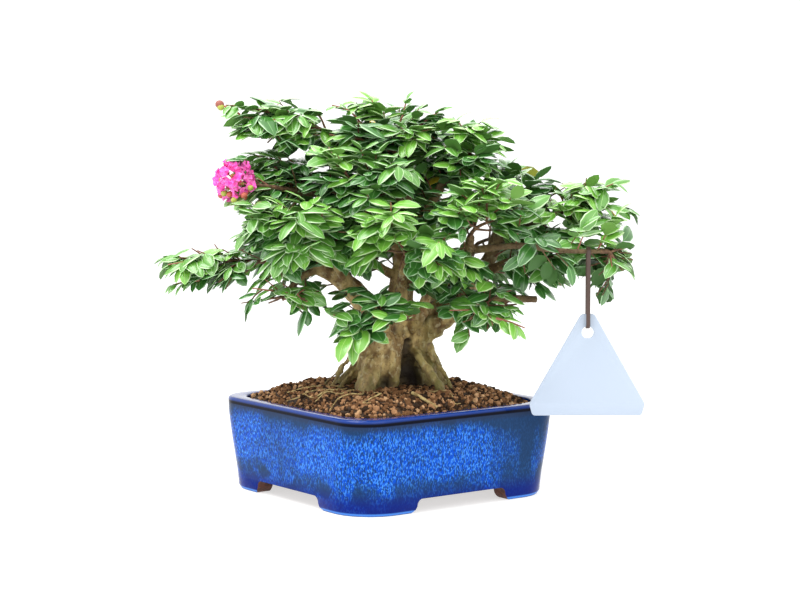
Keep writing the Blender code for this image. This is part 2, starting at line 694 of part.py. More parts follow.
def add_ball(pieces, middle, radius, flatten=1.0):
    """Bud or flower as a ball of twenty faces."""
    bm = bmesh.new()
    size = Matrix.Diagonal((radius, radius, radius * flatten, 1))
    bmesh.ops.create_icosphere(bm, subdivisions=1, radius=1, matrix=Matrix.Translation(middle) @ size)
    mesh_object("ball", bm, pieces)


def twig_end(start, direction, own, surroundings):
    """Furthest place along a direction that keeps the twig clear and well inside its space."""
    reached = None
    for step in range(*TWIG_LENGTHS):
        point = start + direction * step
        if not surroundings.free(own, point, TWIG_RADIUS + GAP, TWIG_REACH):
            break
        reached = point
    return reached


def stem_path(mass, shape):
    """Curve from a limb's tip to near the far side of its mass."""
    start = shape.tip + shape.heading * GAP
    reach = tree_point(*mass.reach)
    length = max((reach - start).length - LEAF_LENGTH * STEM_SHORT_OF_REACH, STEM_SHORTEST)
    reach = start + (reach - start).normalized() * length
    bend = start + shape.heading * (reach - start).length * STEM_BEND
    path = [start]
    start = start + shape.heading * END_STEP
    for step in range(STEM_STEPS + 1):
        t = step / STEM_STEPS
        path.append(start * (1 - t) ** 2 + bend * 2 * t * (1 - t) + reach * t * t)
    return path


def side_twigs(mass, stem, own, surroundings, rng):
    """Twigs that leave the stem turned by the golden angle, spread wide and flat."""
    twigs = []
    for number in range(mass.twigs):
        along = 1 + (number + FIRST_TWIG) / mass.twigs * STEM_STEPS
        step = int(along)
        root = stem[step].lerp(stem[step + 1], along - step)
        ahead = (stem[step + 1] - stem[step]).normalized()
        side = Vector((0, 0, 1)).cross(ahead).normalized()
        turn = GOLDEN_ANGLE * number + rng.uniform(-TWIG_TURN_SPREAD, TWIG_TURN_SPREAD)
        across = side * math.cos(turn) + ahead.cross(side) * (-TWIG_FLATTEN * math.sin(turn))
        direction = (across + ahead * rng.uniform(*TWIG_LEAN)).normalized()
        end = twig_end(root, direction, own, surroundings)
        if end is not None:
            twigs.append((root, end))
    return twigs


def grow_leaves(mass, root, end, own, surroundings, rng, others):
    """Leaves in opposite pairs along one twig and one at its tip, where they fit."""
    direction = (end - root).normalized()
    side = Vector((0, 0, 1)).cross(direction).normalized()
    seats = [(end - direction * TWIG_END_SEAT, 0)]
    distance = (end - root).length - LEAF_SPACING / 2
    while distance > BARE_TWIG:
        seats += [(root + direction * distance, sign) for sign in (-1, 1)]
        distance -= LEAF_SPACING
    leaves = []
    for seat, sign in seats:
        for _ in range(LEAF_TRIES):
            if len(leaves) + len(others) >= mass.leaves:
                break
            lean = direction * rng.uniform(*LEAF_LEAN) + side * sign
            lean += Vector((0, 0, rng.uniform(*LEAF_RISE)))
            leaf = Leaf(seat + side * sign * LEAF_SEAT, lean, rng)
            if leaf.fits(own, surroundings, [other.shape for other in others + leaves]):
                leaves.append(leaf)
                break
    return leaves


def grow_mass(mass, shape, surroundings, group, pieces):
    """One mass: a stem, its side twigs, its leaves, and blossom or a bud where it has them."""
    rng = random.Random(mass.name)
    own = surroundings.spaces[mass.name]
    stem = stem_path(mass, shape)
    spread = np.linspace(STEM_RADIUS, STEM_TIP_RADIUS, len(stem))
    loft(three_sided(stem, spread), "stem", pieces)
    twigs = side_twigs(mass, stem, own, surroundings, rng)
    leaves = []
    for root, end in [(stem[0], stem[-1])] + twigs:
        grown = grow_leaves(mass, root, end, own, surroundings, rng, leaves)
        if grown and (root, end) in twigs:
            loft(three_sided([root, end], (TWIG_RADIUS, TWIG_TIP_RADIUS)), "twig", pieces)
        leaves += grown
    for leaf in leaves:
        leaf.add(pieces)
    if mass.name == "leaves_left_top":
        add_ball(pieces, stem[-1], BUD_RADIUS)
    if mass.name == "blossom_left":
        for number in range(FLOWERS):
            turn = math.tau * number / FLOWERS
            offset = tree_point(*[spread * math.cos(turn + lag) for spread, lag in FLOWER_RING])
            if surroundings.free(own, stem[-1] + offset, FLOWER_RADIUS + GAP):
                add_ball(pieces, stem[-1] + offset, FLOWER_RADIUS, FLOWER_FLATTEN)
    return join_pieces(mass.name, group, pieces)


def build_tag(group):
    """Flat triangular tag with cut corners and a round hole near its top."""
    base = TAG_BASE_HALF
    shoulder = TAG_SHOULDER_HALF
    top = TAG_TOP_HALF
    outline = [(-base, 0), (base, 0), (shoulder, TAG_SHOULDER_RISE), (top, TAG_HEIGHT),
               (-top, TAG_HEIGHT), (-shoulder, TAG_SHOULDER_RISE)]
    hole = arc((0, TAG_HEIGHT - TAG_HOLE_DROP), TAG_HOLE_RADIUS, 0, math.tau, 2 * ARC_STEPS)[:-1]
    tag = curve_object("tag", outline_curve("tag", [outline, hole], TAG_THICKNESS), group)
    upright = Matrix.Rotation(TREE_TURN, 4, "Z") @ Matrix.Rotation(math.pi / 2, 4, "X")
    tag.data.transform(Matrix.Translation(tree_point(TAG_RIGHT, TAG_AWAY, TAG_BOTTOM) * MM) @ upright)
    return tag


def build_strap(group):
    """Closed band round the twig and through the tag's hole, seen edge-on from the side."""
    hole_top = TAG_BOTTOM + TAG_HEIGHT - TAG_HOLE_DROP + TAG_HOLE_RADIUS
    low = hole_top - GAP + math.sqrt(STRAP_INSIDE ** 2 - (TAG_THICKNESS / 2) ** 2)
    high = TWIG_UP + TAG_TWIG_RADIUS + GAP - STRAP_INSIDE
    outlines = []
    for radius in (STRAP_INSIDE + STRAP_THICKNESS, STRAP_INSIDE):
        outlines.append(arc((0, high), radius, 0, math.pi, ARC_STEPS)
                        + arc((0, low), radius, math.pi, math.tau, ARC_STEPS))
    strap = curve_object("tag_strap", outline_curve("tag_strap", outlines, STRAP_WIDTH), group)
    edge_on = (Matrix.Rotation(TREE_TURN, 4, "Z") @ Matrix.Rotation(math.pi / 2, 4, "Z")
               @ Matrix.Rotation(math.pi / 2, 4, "X"))
    strap.data.transform(Matrix.Translation(tree_point(TAG_RIGHT, TAG_AWAY, 0) * MM) @ edge_on)
    return strap


def centre_on_ground(group):
    """Move everything so that the origin is the bottom centre of the whole."""
    corners = [vert.co for made in group.objects for vert in made.data.vertices]
    low = Vector([min(c[i] for c in corners) for i in range(3)])
    high = Vector([max(c[i] for c in corners) for i in range(3)])
    shift = Vector((-(low.x + high.x) / 2, -(low.y + high.y) / 2, -low.z))
    for made in group.objects:
        made.data.transform(Matrix.Translation(shift))
    return shift


def main():
    """Model the whole plant and set it on the ground."""
    for old in list(bpy.data.objects):
        bpy.data.objects.remove(old)
    group = collection("potted_crape_myrtle")
    cutters = collection("cutters")
    pieces = collection("pieces")

    shapes = {limb.name: LimbShape(limb) for limb in LIMBS}
    pot = build_pot(group, cutters)
    apply_modifiers(pot)
    soil = build_soil(group)
    for shape in shapes.values():
        if shape.limb.parent == "trunk":
            tapered_tube("collar", shape.collar_path, shape.collar_radii, pieces)
    trunk = build_trunk(group, pieces)
    limbs = []
    for name, shape in shapes.items():
        tapered_tube(name + "_run", shape.path, shape.radii, pieces)
        for other in shapes.values():
            if other.limb.parent == name:
                tapered_tube("collar", other.collar_path, other.collar_radii, pieces)
        limbs.append(join_pieces(name, group, pieces, "MANIFOLD"))
    spaces = {mass.name: Space(mass) for mass in MASSES}
    surroundings = Surroundings(shapes, spaces)
    masses = [grow_mass(mass, shapes[mass.limb], surroundings, group, pieces) for mass in MASSES]
    tag = build_tag(group)
    strap = build_strap(group)
    for made, name, look in ((pot, "glaze", GLAZE), (soil, "soil_clay", SOIL_CLAY), (tag, "frosted", FROSTED),
                             (strap, "strap_brown", STRAP_BROWN)):
        made.data.materials.append(material(name, look))
    for made in [trunk] + limbs:
        made.data.materials.append(material("bark_" + made.name, BARK))
    for made in masses:
        look = BLOSSOM_PINK if made.name.startswith("blossom") else LEAF_GREEN
        made.data.materials.append(material("foliage_" + made.name, look))
    bpy.data.collections.remove(pieces)
    hide_guides(cutters)
    shift = centre_on_ground(group)
    print("shift_mm", [round(v / MM, 3) for v in shift])
    pivot = tree_point(TAG_RIGHT, TAG_AWAY, TWIG_UP) * MM + shift
    print("tag_pivot_m", [round(v, 5) for v in pivot])
    total = 0
    for made in group.objects:
        total += sum(len(p.vertices) - 2 for p in made.data.polygons)
    print("triangles", total)


main()
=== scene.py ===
"""Looks of a bonsai crape myrtle in a square glazed pot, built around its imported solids.

Sizes and places are in millimetres and become metres when a mesh is made. The pot's sides run
along X and Y from the middle of its underside. The tree has its own axes: right, away and up.
"""

import logging
import math
import random
from collections.abc import Callable, Iterator, Sequence
from contextlib import contextmanager
from dataclasses import dataclass, field
from enum import Enum
from itertools import product
from typing import Protocol

import bmesh
import bpy
import numpy as np
from mathutils import Matrix, Vector, noise

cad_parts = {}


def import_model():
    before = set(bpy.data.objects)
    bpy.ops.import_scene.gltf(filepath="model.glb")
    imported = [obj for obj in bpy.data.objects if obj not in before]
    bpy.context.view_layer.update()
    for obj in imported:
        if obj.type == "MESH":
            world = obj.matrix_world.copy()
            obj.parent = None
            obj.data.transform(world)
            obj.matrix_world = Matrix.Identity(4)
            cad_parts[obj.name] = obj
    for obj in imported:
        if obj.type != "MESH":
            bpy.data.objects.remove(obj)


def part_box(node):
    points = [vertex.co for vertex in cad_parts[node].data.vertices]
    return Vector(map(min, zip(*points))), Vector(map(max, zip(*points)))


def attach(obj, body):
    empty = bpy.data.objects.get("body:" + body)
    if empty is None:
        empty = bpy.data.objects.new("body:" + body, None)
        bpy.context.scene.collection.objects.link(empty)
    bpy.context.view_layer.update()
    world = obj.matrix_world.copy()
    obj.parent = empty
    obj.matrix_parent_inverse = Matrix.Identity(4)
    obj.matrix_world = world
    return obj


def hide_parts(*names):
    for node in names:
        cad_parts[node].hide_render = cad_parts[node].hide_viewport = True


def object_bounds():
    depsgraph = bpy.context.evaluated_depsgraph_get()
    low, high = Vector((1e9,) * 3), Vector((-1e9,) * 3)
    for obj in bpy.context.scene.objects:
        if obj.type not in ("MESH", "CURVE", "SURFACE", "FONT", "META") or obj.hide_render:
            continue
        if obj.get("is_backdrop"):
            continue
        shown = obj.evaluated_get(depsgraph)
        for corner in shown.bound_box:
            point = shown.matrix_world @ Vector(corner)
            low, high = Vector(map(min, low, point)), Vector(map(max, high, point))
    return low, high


LOG = logging.getLogger("crape_myrtle")
MM = 0.001
# Room in millimetres between a stem or strap and the wood that it meets.
GAP = 0.3
TREE_TURN = math.radians(54)
TREE_COS, TREE_SIN = math.cos(TREE_TURN), math.sin(TREE_TURN)
# Columns: the tree's right, away and up in the part's frame.
TREE_AXES = np.array(((TREE_COS, -TREE_SIN, 0), (TREE_SIN, TREE_COS, 0), (0, 0, 1)))
GOLDEN_ANGLE = math.radians(137.5)
UP = np.array((0.0, 0.0, 1.0))
AWAY = np.array((0.0, 1.0, 0.0))
TAG_RIGHT, TAG_AWAY, TAG_TWIG_UP = 115.0, -46.0, 146.0
COAT_ROUGHNESS = 0.12

Colour = tuple[float, float, float, float]
Place = tuple[float, float, float]
Span = tuple[float, float]
Socket = bpy.types.NodeSocket
Array = np.ndarray
Thing = bpy.types.Object


def srgb(red: int, green: int, blue: int) -> Colour:
    """Linear colour of an eight-bit display colour.

    Args:
        red: Red, 0 to 255.
        green: Green, 0 to 255.
        blue: Blue, 0 to 255.

    Returns:
        Red, green, blue and an alpha of 1, for a shader socket.
    """
    parts = [value / 255 for value in (red, green, blue)]
    linear = [part / 12.92 if part < 0.04045 else ((part + 0.055) / 1.055) ** 2.4 for part in parts]
    return (linear[0], linear[1], linear[2], 1.0)


# ---- finishes


class Graph:
    """A material's or group's node tree, with short calls that add and join nodes."""

    def __init__(self, tree: bpy.types.NodeTree) -> None:
        """Keeps the tree that nodes are added to."""
        self.tree = tree

    def add(self, kind: str, **settings: object) -> bpy.types.Node:
        """Adds a node and sets its properties.

        Args:
            kind: Node type without the ShaderNode prefix.
            **settings: Node properties by name.

        Returns:
            The new node.
        """
        node = self.tree.nodes.new("ShaderNode" + kind)
        for name, value in settings.items():
            setattr(node, name, value)
        return node

    def put(self, value: object, socket: Socket) -> None:
        """Links an output socket to an input, or sets a plain value on it.

        Args:
            value: An output socket, a number or a tuple.
            socket: The input that takes it.
        """
        if isinstance(value, Socket):
            self.tree.links.new(value, socket)
        else:
            socket.default_value = value

    def math(self, operation: str, first: object, second: object = 0.0) -> Socket:
        """Result of a Math node.

        Args:
            operation: The node's operation.
            first: First value or socket.
            second: Second value or socket.

        Returns:
            The output socket.
        """
        node = self.add("Math", operation=operation)
        self.put(first, node.inputs[0])
        self.put(second, node.inputs[1])
        return node.outputs[0]

    def fade(self, value: object, low: object, high: object, start: float = 0.0, end: float = 1.0) -> Socket:
        """Value mapped smoothly from low..high to start..end.

        Args:
            value: The socket that is mapped.
            low: Where the result is start.
            high: Where the result is end.
            start: Result at low.
            end: Result at high.

        Returns:
            The output socket.
        """
        node = self.add("MapRange", interpolation_type="SMOOTHSTEP")
        for socket, item in zip(node.inputs, (value, low, high, start, end)):
            self.put(item, socket)
        return node.outputs[0]

    def mix(self, share: object, first: object, second: object) -> Socket:
        """Colour between two colours.

        Args:
            share: 0 for the first colour and 1 for the second.
            first: First colour or socket.
            second: Second colour or socket.

        Returns:
            The colour output.
        """
        node = self.add("Mix", data_type="RGBA")
        self.put(share, node.inputs[0])
        self.put(first, node.inputs[6])
        self.put(second, node.inputs[7])
        return node.outputs[2]

    def place(self) -> Socket:
        """The Object coordinate."""
        return self.add("TexCoord").outputs["Object"]

    def bump(self, height: Socket, depth: float, shader: bpy.types.Node) -> None:
        """Gives a shader a relief.

        Args:
            height: The relief's height.
            depth: Its depth in millimetres.
            shader: The shader whose normal it bends.
        """
        node = self.add("Bump")
        node.inputs["Distance"].default_value = depth * MM
        self.put(height, node.inputs["Height"])
        self.put(node.outputs[0], shader.inputs["Normal"])


def mottle_group() -> bpy.types.NodeTree:
    """Node group of soft irregular spots, shared by glaze, bark, clay, soil, twig, petal and root finishes.

    Returns:
        The group, with Place, Size in millimetres, Stretch, Cut, Softness and Detail in, and Mask out.
    """
    name = "mottle"
    if name in bpy.data.node_groups:
        return bpy.data.node_groups[name]
    group = bpy.data.node_groups.new(name, "ShaderNodeTree")
    group.interface.new_socket("Place", in_out="INPUT", socket_type="NodeSocketVector")
    for title, default in (("Size", 2.0), ("Cut", 0.5), ("Softness", 0.1), ("Detail", 2.0)):
        socket = group.interface.new_socket(title, in_out="INPUT", socket_type="NodeSocketFloat")
        socket.default_value = default
    stretch = group.interface.new_socket("Stretch", in_out="INPUT", socket_type="NodeSocketVector")
    stretch.default_value = (1.0, 1.0, 1.0)
    group.interface.new_socket("Mask", in_out="OUTPUT", socket_type="NodeSocketFloat")
    graph = Graph(group)
    given = group.nodes.new("NodeGroupInput")
    result = group.nodes.new("NodeGroupOutput")
    stretched = graph.add("VectorMath", operation="MULTIPLY")
    graph.put(given.outputs["Place"], stretched.inputs[0])
    graph.put(given.outputs["Stretch"], stretched.inputs[1])
    spots = graph.add("TexNoise")
    graph.put(stretched.outputs[0], spots.inputs["Vector"])
    graph.put(graph.math("DIVIDE", 1 / MM, given.outputs["Size"]), spots.inputs["Scale"])
    graph.put(given.outputs["Detail"], spots.inputs["Detail"])
    low = graph.math("SUBTRACT", given.outputs["Cut"], given.outputs["Softness"])
    high = graph.math("ADD", given.outputs["Cut"], given.outputs["Softness"])
    graph.put(graph.fade(spots.outputs["Fac"], low, high), result.inputs["Mask"])
    return group


@dataclass(frozen=True)
class Mottle:
    """One use of the mottle group."""

    size: float
    cut: float = 0.5
    softness: float = 0.1
    stretch: tuple[float, float, float] = (1.0, 1.0, 1.0)
    detail: float = 2.0

    def mask(self, graph: Graph, place: Socket) -> Socket:
        """Adds the group to a material.

        Args:
            graph: The material's graph.
            place: The Object coordinate.

        Returns:
            The group's Mask output.
        """
        node = graph.tree.nodes.new("ShaderNodeGroup")
        node.node_tree = mottle_group()
        graph.put(place, node.inputs["Place"])
        for title, value in (("Size", self.size), ("Cut", self.cut), ("Softness", self.softness),
                             ("Stretch", self.stretch), ("Detail", self.detail)):
            node.inputs[title].default_value = value
        return node.outputs["Mask"]


def start_material(name: str, roughness: float, coat: float = 0.0,
                   specular: float = 0.5) -> tuple[bpy.types.Material, Graph, bpy.types.Node]:
    """A new material with its Principled shader.

    Args:
        name: The material's name.
        roughness: Roughness of the whole surface.
        coat: Weight of a clear coat.
        specular: Specular level of the whole surface.

    Returns:
        The material, its graph and its shader node.
    """
    made = bpy.data.materials.new(name)
    made.use_nodes = True
    shader = made.node_tree.nodes["Principled BSDF"]
    shader.inputs["Roughness"].default_value = roughness
    shader.inputs["Coat Weight"].default_value = coat
    shader.inputs["Coat Roughness"].default_value = COAT_ROUGHNESS
    shader.inputs["Specular IOR Level"].default_value = specular
    return made, Graph(made.node_tree), shader


class Finish(Protocol):
    """Anything that makes a material."""

    def material(self) -> bpy.types.Material:
        """The material."""


@dataclass(frozen=True)
class PlainFinish:
    """One colour all over, with its gloss."""

    name: str
    colour: Colour
    roughness: float = 0.5
    coat: float = 0.0
    specular: float = 0.5

    def material(self) -> bpy.types.Material:
        """The material, made once."""
        if self.name in bpy.data.materials:
            return bpy.data.materials[self.name]
        made, _, shader = start_material(self.name, self.roughness, self.coat, self.specular)
        shader.inputs["Base Color"].default_value = self.colour
        return made


@dataclass(frozen=True)
class SpottedFinish:
    """Two colours in irregular spots, with a slight relief."""

    name: str
    base: Colour
    spots: Colour
    mottle: Mottle
    roughness: float = 0.8
    relief: float = 0.15

    def material(self) -> bpy.types.Material:
        """Builds the material.

        Returns:
            The spotted material.
        """
        made, graph, shader = start_material(self.name, self.roughness)
        mask = self.mottle.mask(graph, graph.place())
        graph.put(graph.mix(mask, self.base, self.spots), shader.inputs["Base Color"])
        graph.bump(mask, self.relief, shader)
        return made


@dataclass(frozen=True)
class Fade:
    """A share that comes in, or falls away, between two places in millimetres."""

    low: float
    high: float
    share: float = 1.0
    falling: bool = False

    def along(self, graph: Graph, place: Socket) -> Socket:
        """The share's socket, for the coordinate on one axis."""
        ends = (self.share, 0.0) if self.falling else (0.0, self.share)
        return graph.fade(place, self.low * MM, self.high * MM, *ends)


@dataclass(frozen=True)
class GlazeFinish:
    """Blue streaked glaze: slate where it ran thin at the lip, bright speckled blue below."""

    name: str = "blue_streaked_glaze"
    slate: Colour = srgb(26, 54, 90)
    blue: Colour = srgb(10, 72, 184)
    pale: Colour = srgb(62, 132, 222)
    bare: Colour = srgb(64, 56, 56)
    bands: tuple[tuple[Fade, Colour], ...] = (
        (Fade(4, 17, 0.85, True), srgb(12, 28, 116)),
        (Fade(47.5, 51, 0.8), srgb(36, 50, 76)),
        (Fade(51.2, 51.9), srgb(8, 10, 24)),
        (Fade(52.9, 54.3), srgb(12, 50, 126)),
        (Fade(1.2, 2.2, 1.0, True), srgb(74, 132, 216)))
    streaks: Mottle = Mottle(1.0, 0.5, 0.07, (1, 1, 0.36), 3)
    flecks: Mottle = Mottle(0.7, 0.56, 0.05, (1, 1, 0.4), 2)
    runs: Mottle = Mottle(9, 0.5, 0.22, (1, 1, 0.25), 2)
    clouds: Mottle = Mottle(38, 0.44, 0.14, (1, 1, 0.7), 1)
    patches: Mottle = Mottle(20, 0.5, 0.06, (1, 1, 1), 1)
    run_share: float = 0.3
    cloud_share: float = 0.5
    least_cover: float = 0.28
    between: float = 0.12
    strength: float = 1.25
    least_flecks: float = 0.06
    thin_top: Fade = Fade(40, 51, 0.75)
    thin_side: Fade = Fade(8, 46, 0.46)
    low_patches: Fade = Fade(14, 26, 0.75, True)
    bare_foot: Fade = Fade(0.2, 0.4, 1.0, True)
    lip_coat: Fade = Fade(52.6, 54.8, 0.6)
    roughness: float = 0.14
    bare_roughness: float = 0.85
    specular: float = 0.06

    def material(self) -> bpy.types.Material:
        """Builds the glaze.

        Returns:
            The glossy blue material.
        """
        made, graph, shader = start_material(self.name, self.roughness, specular=self.specular)
        place = graph.place()
        axes = graph.add("SeparateXYZ")
        graph.put(place, axes.inputs[0])
        _, side, height = axes.outputs
        cover = graph.math("ADD", graph.math("MULTIPLY", self.clouds.mask(graph, place), self.cloud_share),
                           graph.math("MULTIPLY", self.runs.mask(graph, place), self.run_share))
        cover = graph.math("ADD", cover, self.least_cover)
        low = self.low_patches.along(graph, height)
        patches = graph.math("MULTIPLY", self.patches.mask(graph, place), low)
        for thinned in (self.thin_top.along(graph, height), self.thin_side.along(graph, side), patches):
            cover = graph.math("SUBTRACT", cover, thinned)
        streaks = graph.math("ADD", self.streaks.mask(graph, place), self.between)
        share = graph.math("MULTIPLY", graph.math("MULTIPLY", streaks, cover), self.strength)
        share = graph.math("MINIMUM", graph.math("MAXIMUM", share, 0.0), 1.0)
        colour = graph.mix(share, self.slate, self.blue)
        light = graph.math("MAXIMUM", graph.math("ADD", cover, self.between), self.least_flecks)
        light = graph.math("MULTIPLY", self.flecks.mask(graph, place), light)
        colour = graph.mix(graph.math("MINIMUM", light, 1.0), colour, self.pale)
        for band, tone in self.bands:
            colour = graph.mix(band.along(graph, height), colour, tone)
        bare = self.bare_foot.along(graph, height)
        graph.put(graph.mix(bare, colour, self.bare), shader.inputs["Base Color"])
        graph.put(graph.fade(bare, 0, 1, self.roughness, self.bare_roughness), shader.inputs["Roughness"])
        graph.put(self.lip_coat.along(graph, height), shader.inputs["Coat Weight"])
        return made


@dataclass(frozen=True)
class BarkFinish:
    """Pale tan bark with grey flakes and green where moss grows, with painted shade that darkens its hollows
    and pits.
    """

    name: str = "pale_bark"
    tan: Colour = srgb(202, 176, 116)
    brown: Colour = srgb(122, 92, 52)
    flake: Colour = srgb(220, 208, 164)
    moss: Colour = srgb(126, 124, 62)
    # Painted shade: the near-black that hollows, the cleft and the knots' middles are darkened towards.
    hollow: Colour = srgb(38, 28, 18)
    twig: Colour = srgb(96, 76, 52)
    patches: Mottle = Mottle(7, 0.5, 0.14, (1, 1, 0.6), 4)
    flakes: Mottle = Mottle(2.8, 0.6, 0.08, (1, 1, 0.8), 3)
    pits: Mottle = Mottle(1.2, 0.36, 0.06, (1, 1, 0.8), 3)
    flake_share: float = 0.5
    pit_share: float = 0.6
    relief: float = 0.35
    roughness: float = 0.72

    def material(self) -> bpy.types.Material:
        """Builds the bark. The attribute bark_tone holds moss, the painted shade of hollows, and twig brown.

        Returns:
            The rough bark material.
        """
        made, graph, shader = start_material(self.name, self.roughness)
        place = graph.place()
        tone = graph.add("Attribute", attribute_name="bark_tone")
        parts = graph.add("SeparateColor")
        graph.put(tone.outputs["Color"], parts.inputs[0])
        mossy, hollow, twiggy = parts.outputs
        flakes, pits = self.flakes.mask(graph, place), self.pits.mask(graph, place)
        flaked = graph.math("MULTIPLY", flakes, self.flake_share)
        # Painted shade: the relief's low places take the darker brown.
        pit_shade = graph.math("MULTIPLY", graph.math("SUBTRACT", 1.0, pits), self.pit_share)
        colour = graph.mix(self.patches.mask(graph, place), self.brown, self.tan)
        for mask, shown in ((flaked, self.flake), (pit_shade, self.brown), (mossy, self.moss),
                            (twiggy, self.twig), (hollow, self.hollow)):
            colour = graph.mix(mask, colour, shown)
        graph.put(colour, shader.inputs["Base Color"])
        graph.bump(graph.math("ADD", pits, flakes), self.relief, shader)
        return made


class Tint(Enum):
    """The greens that sprays of leaves are dealt: blade, margin with a painted highlight, rib, and underside
    darkened by painted shade.
    """

    # Margins: the leaf's slightly pale edge plus a painted highlight where it catches light. Undersides:
    # painted shade over their own paler green.
    DARK = ("dark", srgb(54, 112, 38), srgb(162, 198, 152), srgb(116, 164, 98), srgb(74, 116, 56))
    MID = ("mid", srgb(92, 152, 54), srgb(192, 220, 172), srgb(148, 194, 118), srgb(98, 144, 68))
    BRIGHT = ("bright", srgb(114, 178, 60), srgb(198, 228, 166), srgb(164, 208, 116), srgb(114, 160, 74))
    YELLOW = ("yellow", srgb(216, 192, 44), srgb(228, 212, 104), srgb(222, 202, 70), srgb(206, 190, 80))

    def finishes(self) -> tuple[PlainFinish, ...]:
        """Blade, margin with a painted highlight, rib, and underside darkened by painted shade, of this tint.

        Returns:
            The four finishes.
        """
        name, blade, margin, rib, shaded_under = self.value
        return (PlainFinish(f"leaf_{name}", blade, roughness=0.32, coat=0.3, specular=0.9),
                PlainFinish(f"margin_{name}", margin, roughness=0.45),
                PlainFinish(f"rib_{name}", rib, roughness=0.45),
                PlainFinish(f"underside_{name}", shaded_under, roughness=0.55))


# ---- places and paths


@dataclass(frozen=True)
class Site:
    """Where the pot's middle is, and the turn of the tree's own axes."""

    origin: Vector

    def pot(self, points: Array) -> Array:
        """Metres in the part's frame, from pot places in millimetres."""
        return np.asarray(points, dtype=float) * MM + np.array(self.origin)

    def tree(self, points: Array) -> Array:
        """Metres in the part's frame, from rows of right, away and up in millimetres."""
        return self.pot(np.asarray(points, dtype=float) @ TREE_AXES.T)


def unit(vector: Array) -> Array:
    """The vector at length 1."""
    return vector / max(float(np.linalg.norm(vector)), 1e-9)


def smooth_path(points: Sequence[Sequence[float]], count: int) -> Array:
    """Evenly spread places on a smooth curve through the given places.

    Args:
        points: The places that the curve goes through.
        count: How many places come back.

    Returns:
        One row for each place.
    """
    stops = [np.array(point, dtype=float) for point in points]
    stops = [2 * stops[0] - stops[1]] + stops + [2 * stops[-1] - stops[-2]]
    steps = 16
    t = np.arange(steps)[:, None] / steps
    dense = [0.5 * (2 * b + (c - a) * t + (2 * a - 5 * b + 4 * c - d) * t * t
                    + (3 * b - a - 3 * c + d) * t ** 3)
             for a, b, c, d in zip(stops, stops[1:], stops[2:], stops[3:])]
    line = np.vstack(dense + [stops[-2][None]])
    lengths = np.concatenate(([0], np.cumsum(np.linalg.norm(np.diff(line, axis=0), axis=1))))
    wanted = np.linspace(0, lengths[-1], count)
    return np.column_stack([np.interp(wanted, lengths, line[:, k]) for k in range(3)])


def frame_along(direction: Array, upward: Array) -> Array:
    """Rows of the axes that lay X along a direction, with Z as near to upward as it can be.

    Args:
        direction: Where X points.
        upward: What Z leans to.

    Returns:
        A 3 by 3 array of X, Y and Z.
    """
    x_axis = unit(direction)
    y_axis = unit(np.cross(upward, x_axis))
    return np.array((x_axis, y_axis, np.cross(x_axis, y_axis)))


# ---- the bench


class Part(Enum):
    """What is selected in edit mode."""

    VERTS = (True, False, False)
    EDGES = (False, True, False)
    FACES = (False, False, True)


def pick_objects(*objects: Thing) -> None:
    """Selects only these objects and makes the first one active."""
    bpy.ops.object.select_all(action="DESELECT")
    for made in objects:
        made.select_set(True)
    bpy.context.view_layer.objects.active = objects[0]


@contextmanager
def editing(made: Thing) -> Iterator[None]:
    """Edit mode on one object, with nothing selected at the start.

    Args:
        made: The object that is edited.

    Yields:
        Nothing.
    """
    pick_objects(made)
    bpy.ops.object.mode_set(mode="EDIT")
    bpy.ops.mesh.select_all(action="DESELECT")
    yield
    bpy.ops.object.mode_set(mode="OBJECT")


def pick(part: Part, test: Callable[[object], bool]) -> int:
    """Selects the vertices, edges or faces of the edited mesh that pass a test.

    Args:
        part: Which kind is selected.
        test: Whether an element is selected.

    Returns:
        How many are selected.
    """
    bpy.context.tool_settings.mesh_select_mode = part.value
    bpy.ops.mesh.select_all(action="DESELECT")
    data = bpy.context.edit_object.data
    mesh = bmesh.from_edit_mesh(data)
    elements = {Part.VERTS: mesh.verts, Part.EDGES: mesh.edges, Part.FACES: mesh.faces}[part]
    count = 0
    for element in elements:
        if test(element):
            element.select_set(True)
            count += 1
    bmesh.update_edit_mesh(data)
    return count


def settle(made: Thing, name: str) -> Thing:
    """Names an object and puts its place, turn and size into its mesh.

    Args:
        made: The object.
        name: Its name.

    Returns:
        The same object, at the origin.
    """
    made.name = name
    made.data.name = name
    pick_objects(made)
    bpy.ops.object.transform_apply(location=True, rotation=True, scale=True)
    return made


def add_primitive(operator: Callable[..., object], name: str, **settings: object) -> Thing:
    """Adds a mesh primitive with nothing else selected.

    Args:
        operator: The operator that adds it.
        name: The object's name.
        **settings: What the operator takes.

    Returns:
        The primitive, settled at the origin.
    """
    bpy.ops.object.select_all(action="DESELECT")
    operator(**settings)
    return settle(bpy.context.active_object, name)


def add_block(name: str, low: Sequence[float], high: Sequence[float]) -> Thing:
    """A cube primitive at its size and place.

    Args:
        name: The object's name.
        low: Its lowest corner, in metres.
        high: Its highest corner, in metres.

    Returns:
        The block, settled at the origin.
    """
    middle = [(a + b) / 2 for a, b in zip(low, high)]
    size = [b - a for a, b in zip(low, high)]
    return add_primitive(bpy.ops.mesh.primitive_cube_add, name, size=1, location=middle, scale=size)


def add_object(name: str, data: bpy.types.ID) -> Thing:
    """A new object over its data, in the scene."""
    made = bpy.data.objects.new(name, data)
    bpy.context.scene.collection.objects.link(made)
    return made


def extrude(*step: float) -> None:
    """Extrudes what is selected by a step along X, Y and Z in metres."""
    bpy.ops.mesh.extrude_region_move(TRANSFORM_OT_translate={"value": step})


def slice_all(place: Sequence[float], normal: Sequence[float], **settings: object) -> None:
    """Cuts the whole edited mesh at a plane, which is given in metres."""
    bpy.ops.mesh.select_all(action="SELECT")
    bpy.ops.mesh.bisect(plane_co=place, plane_no=normal, **settings)


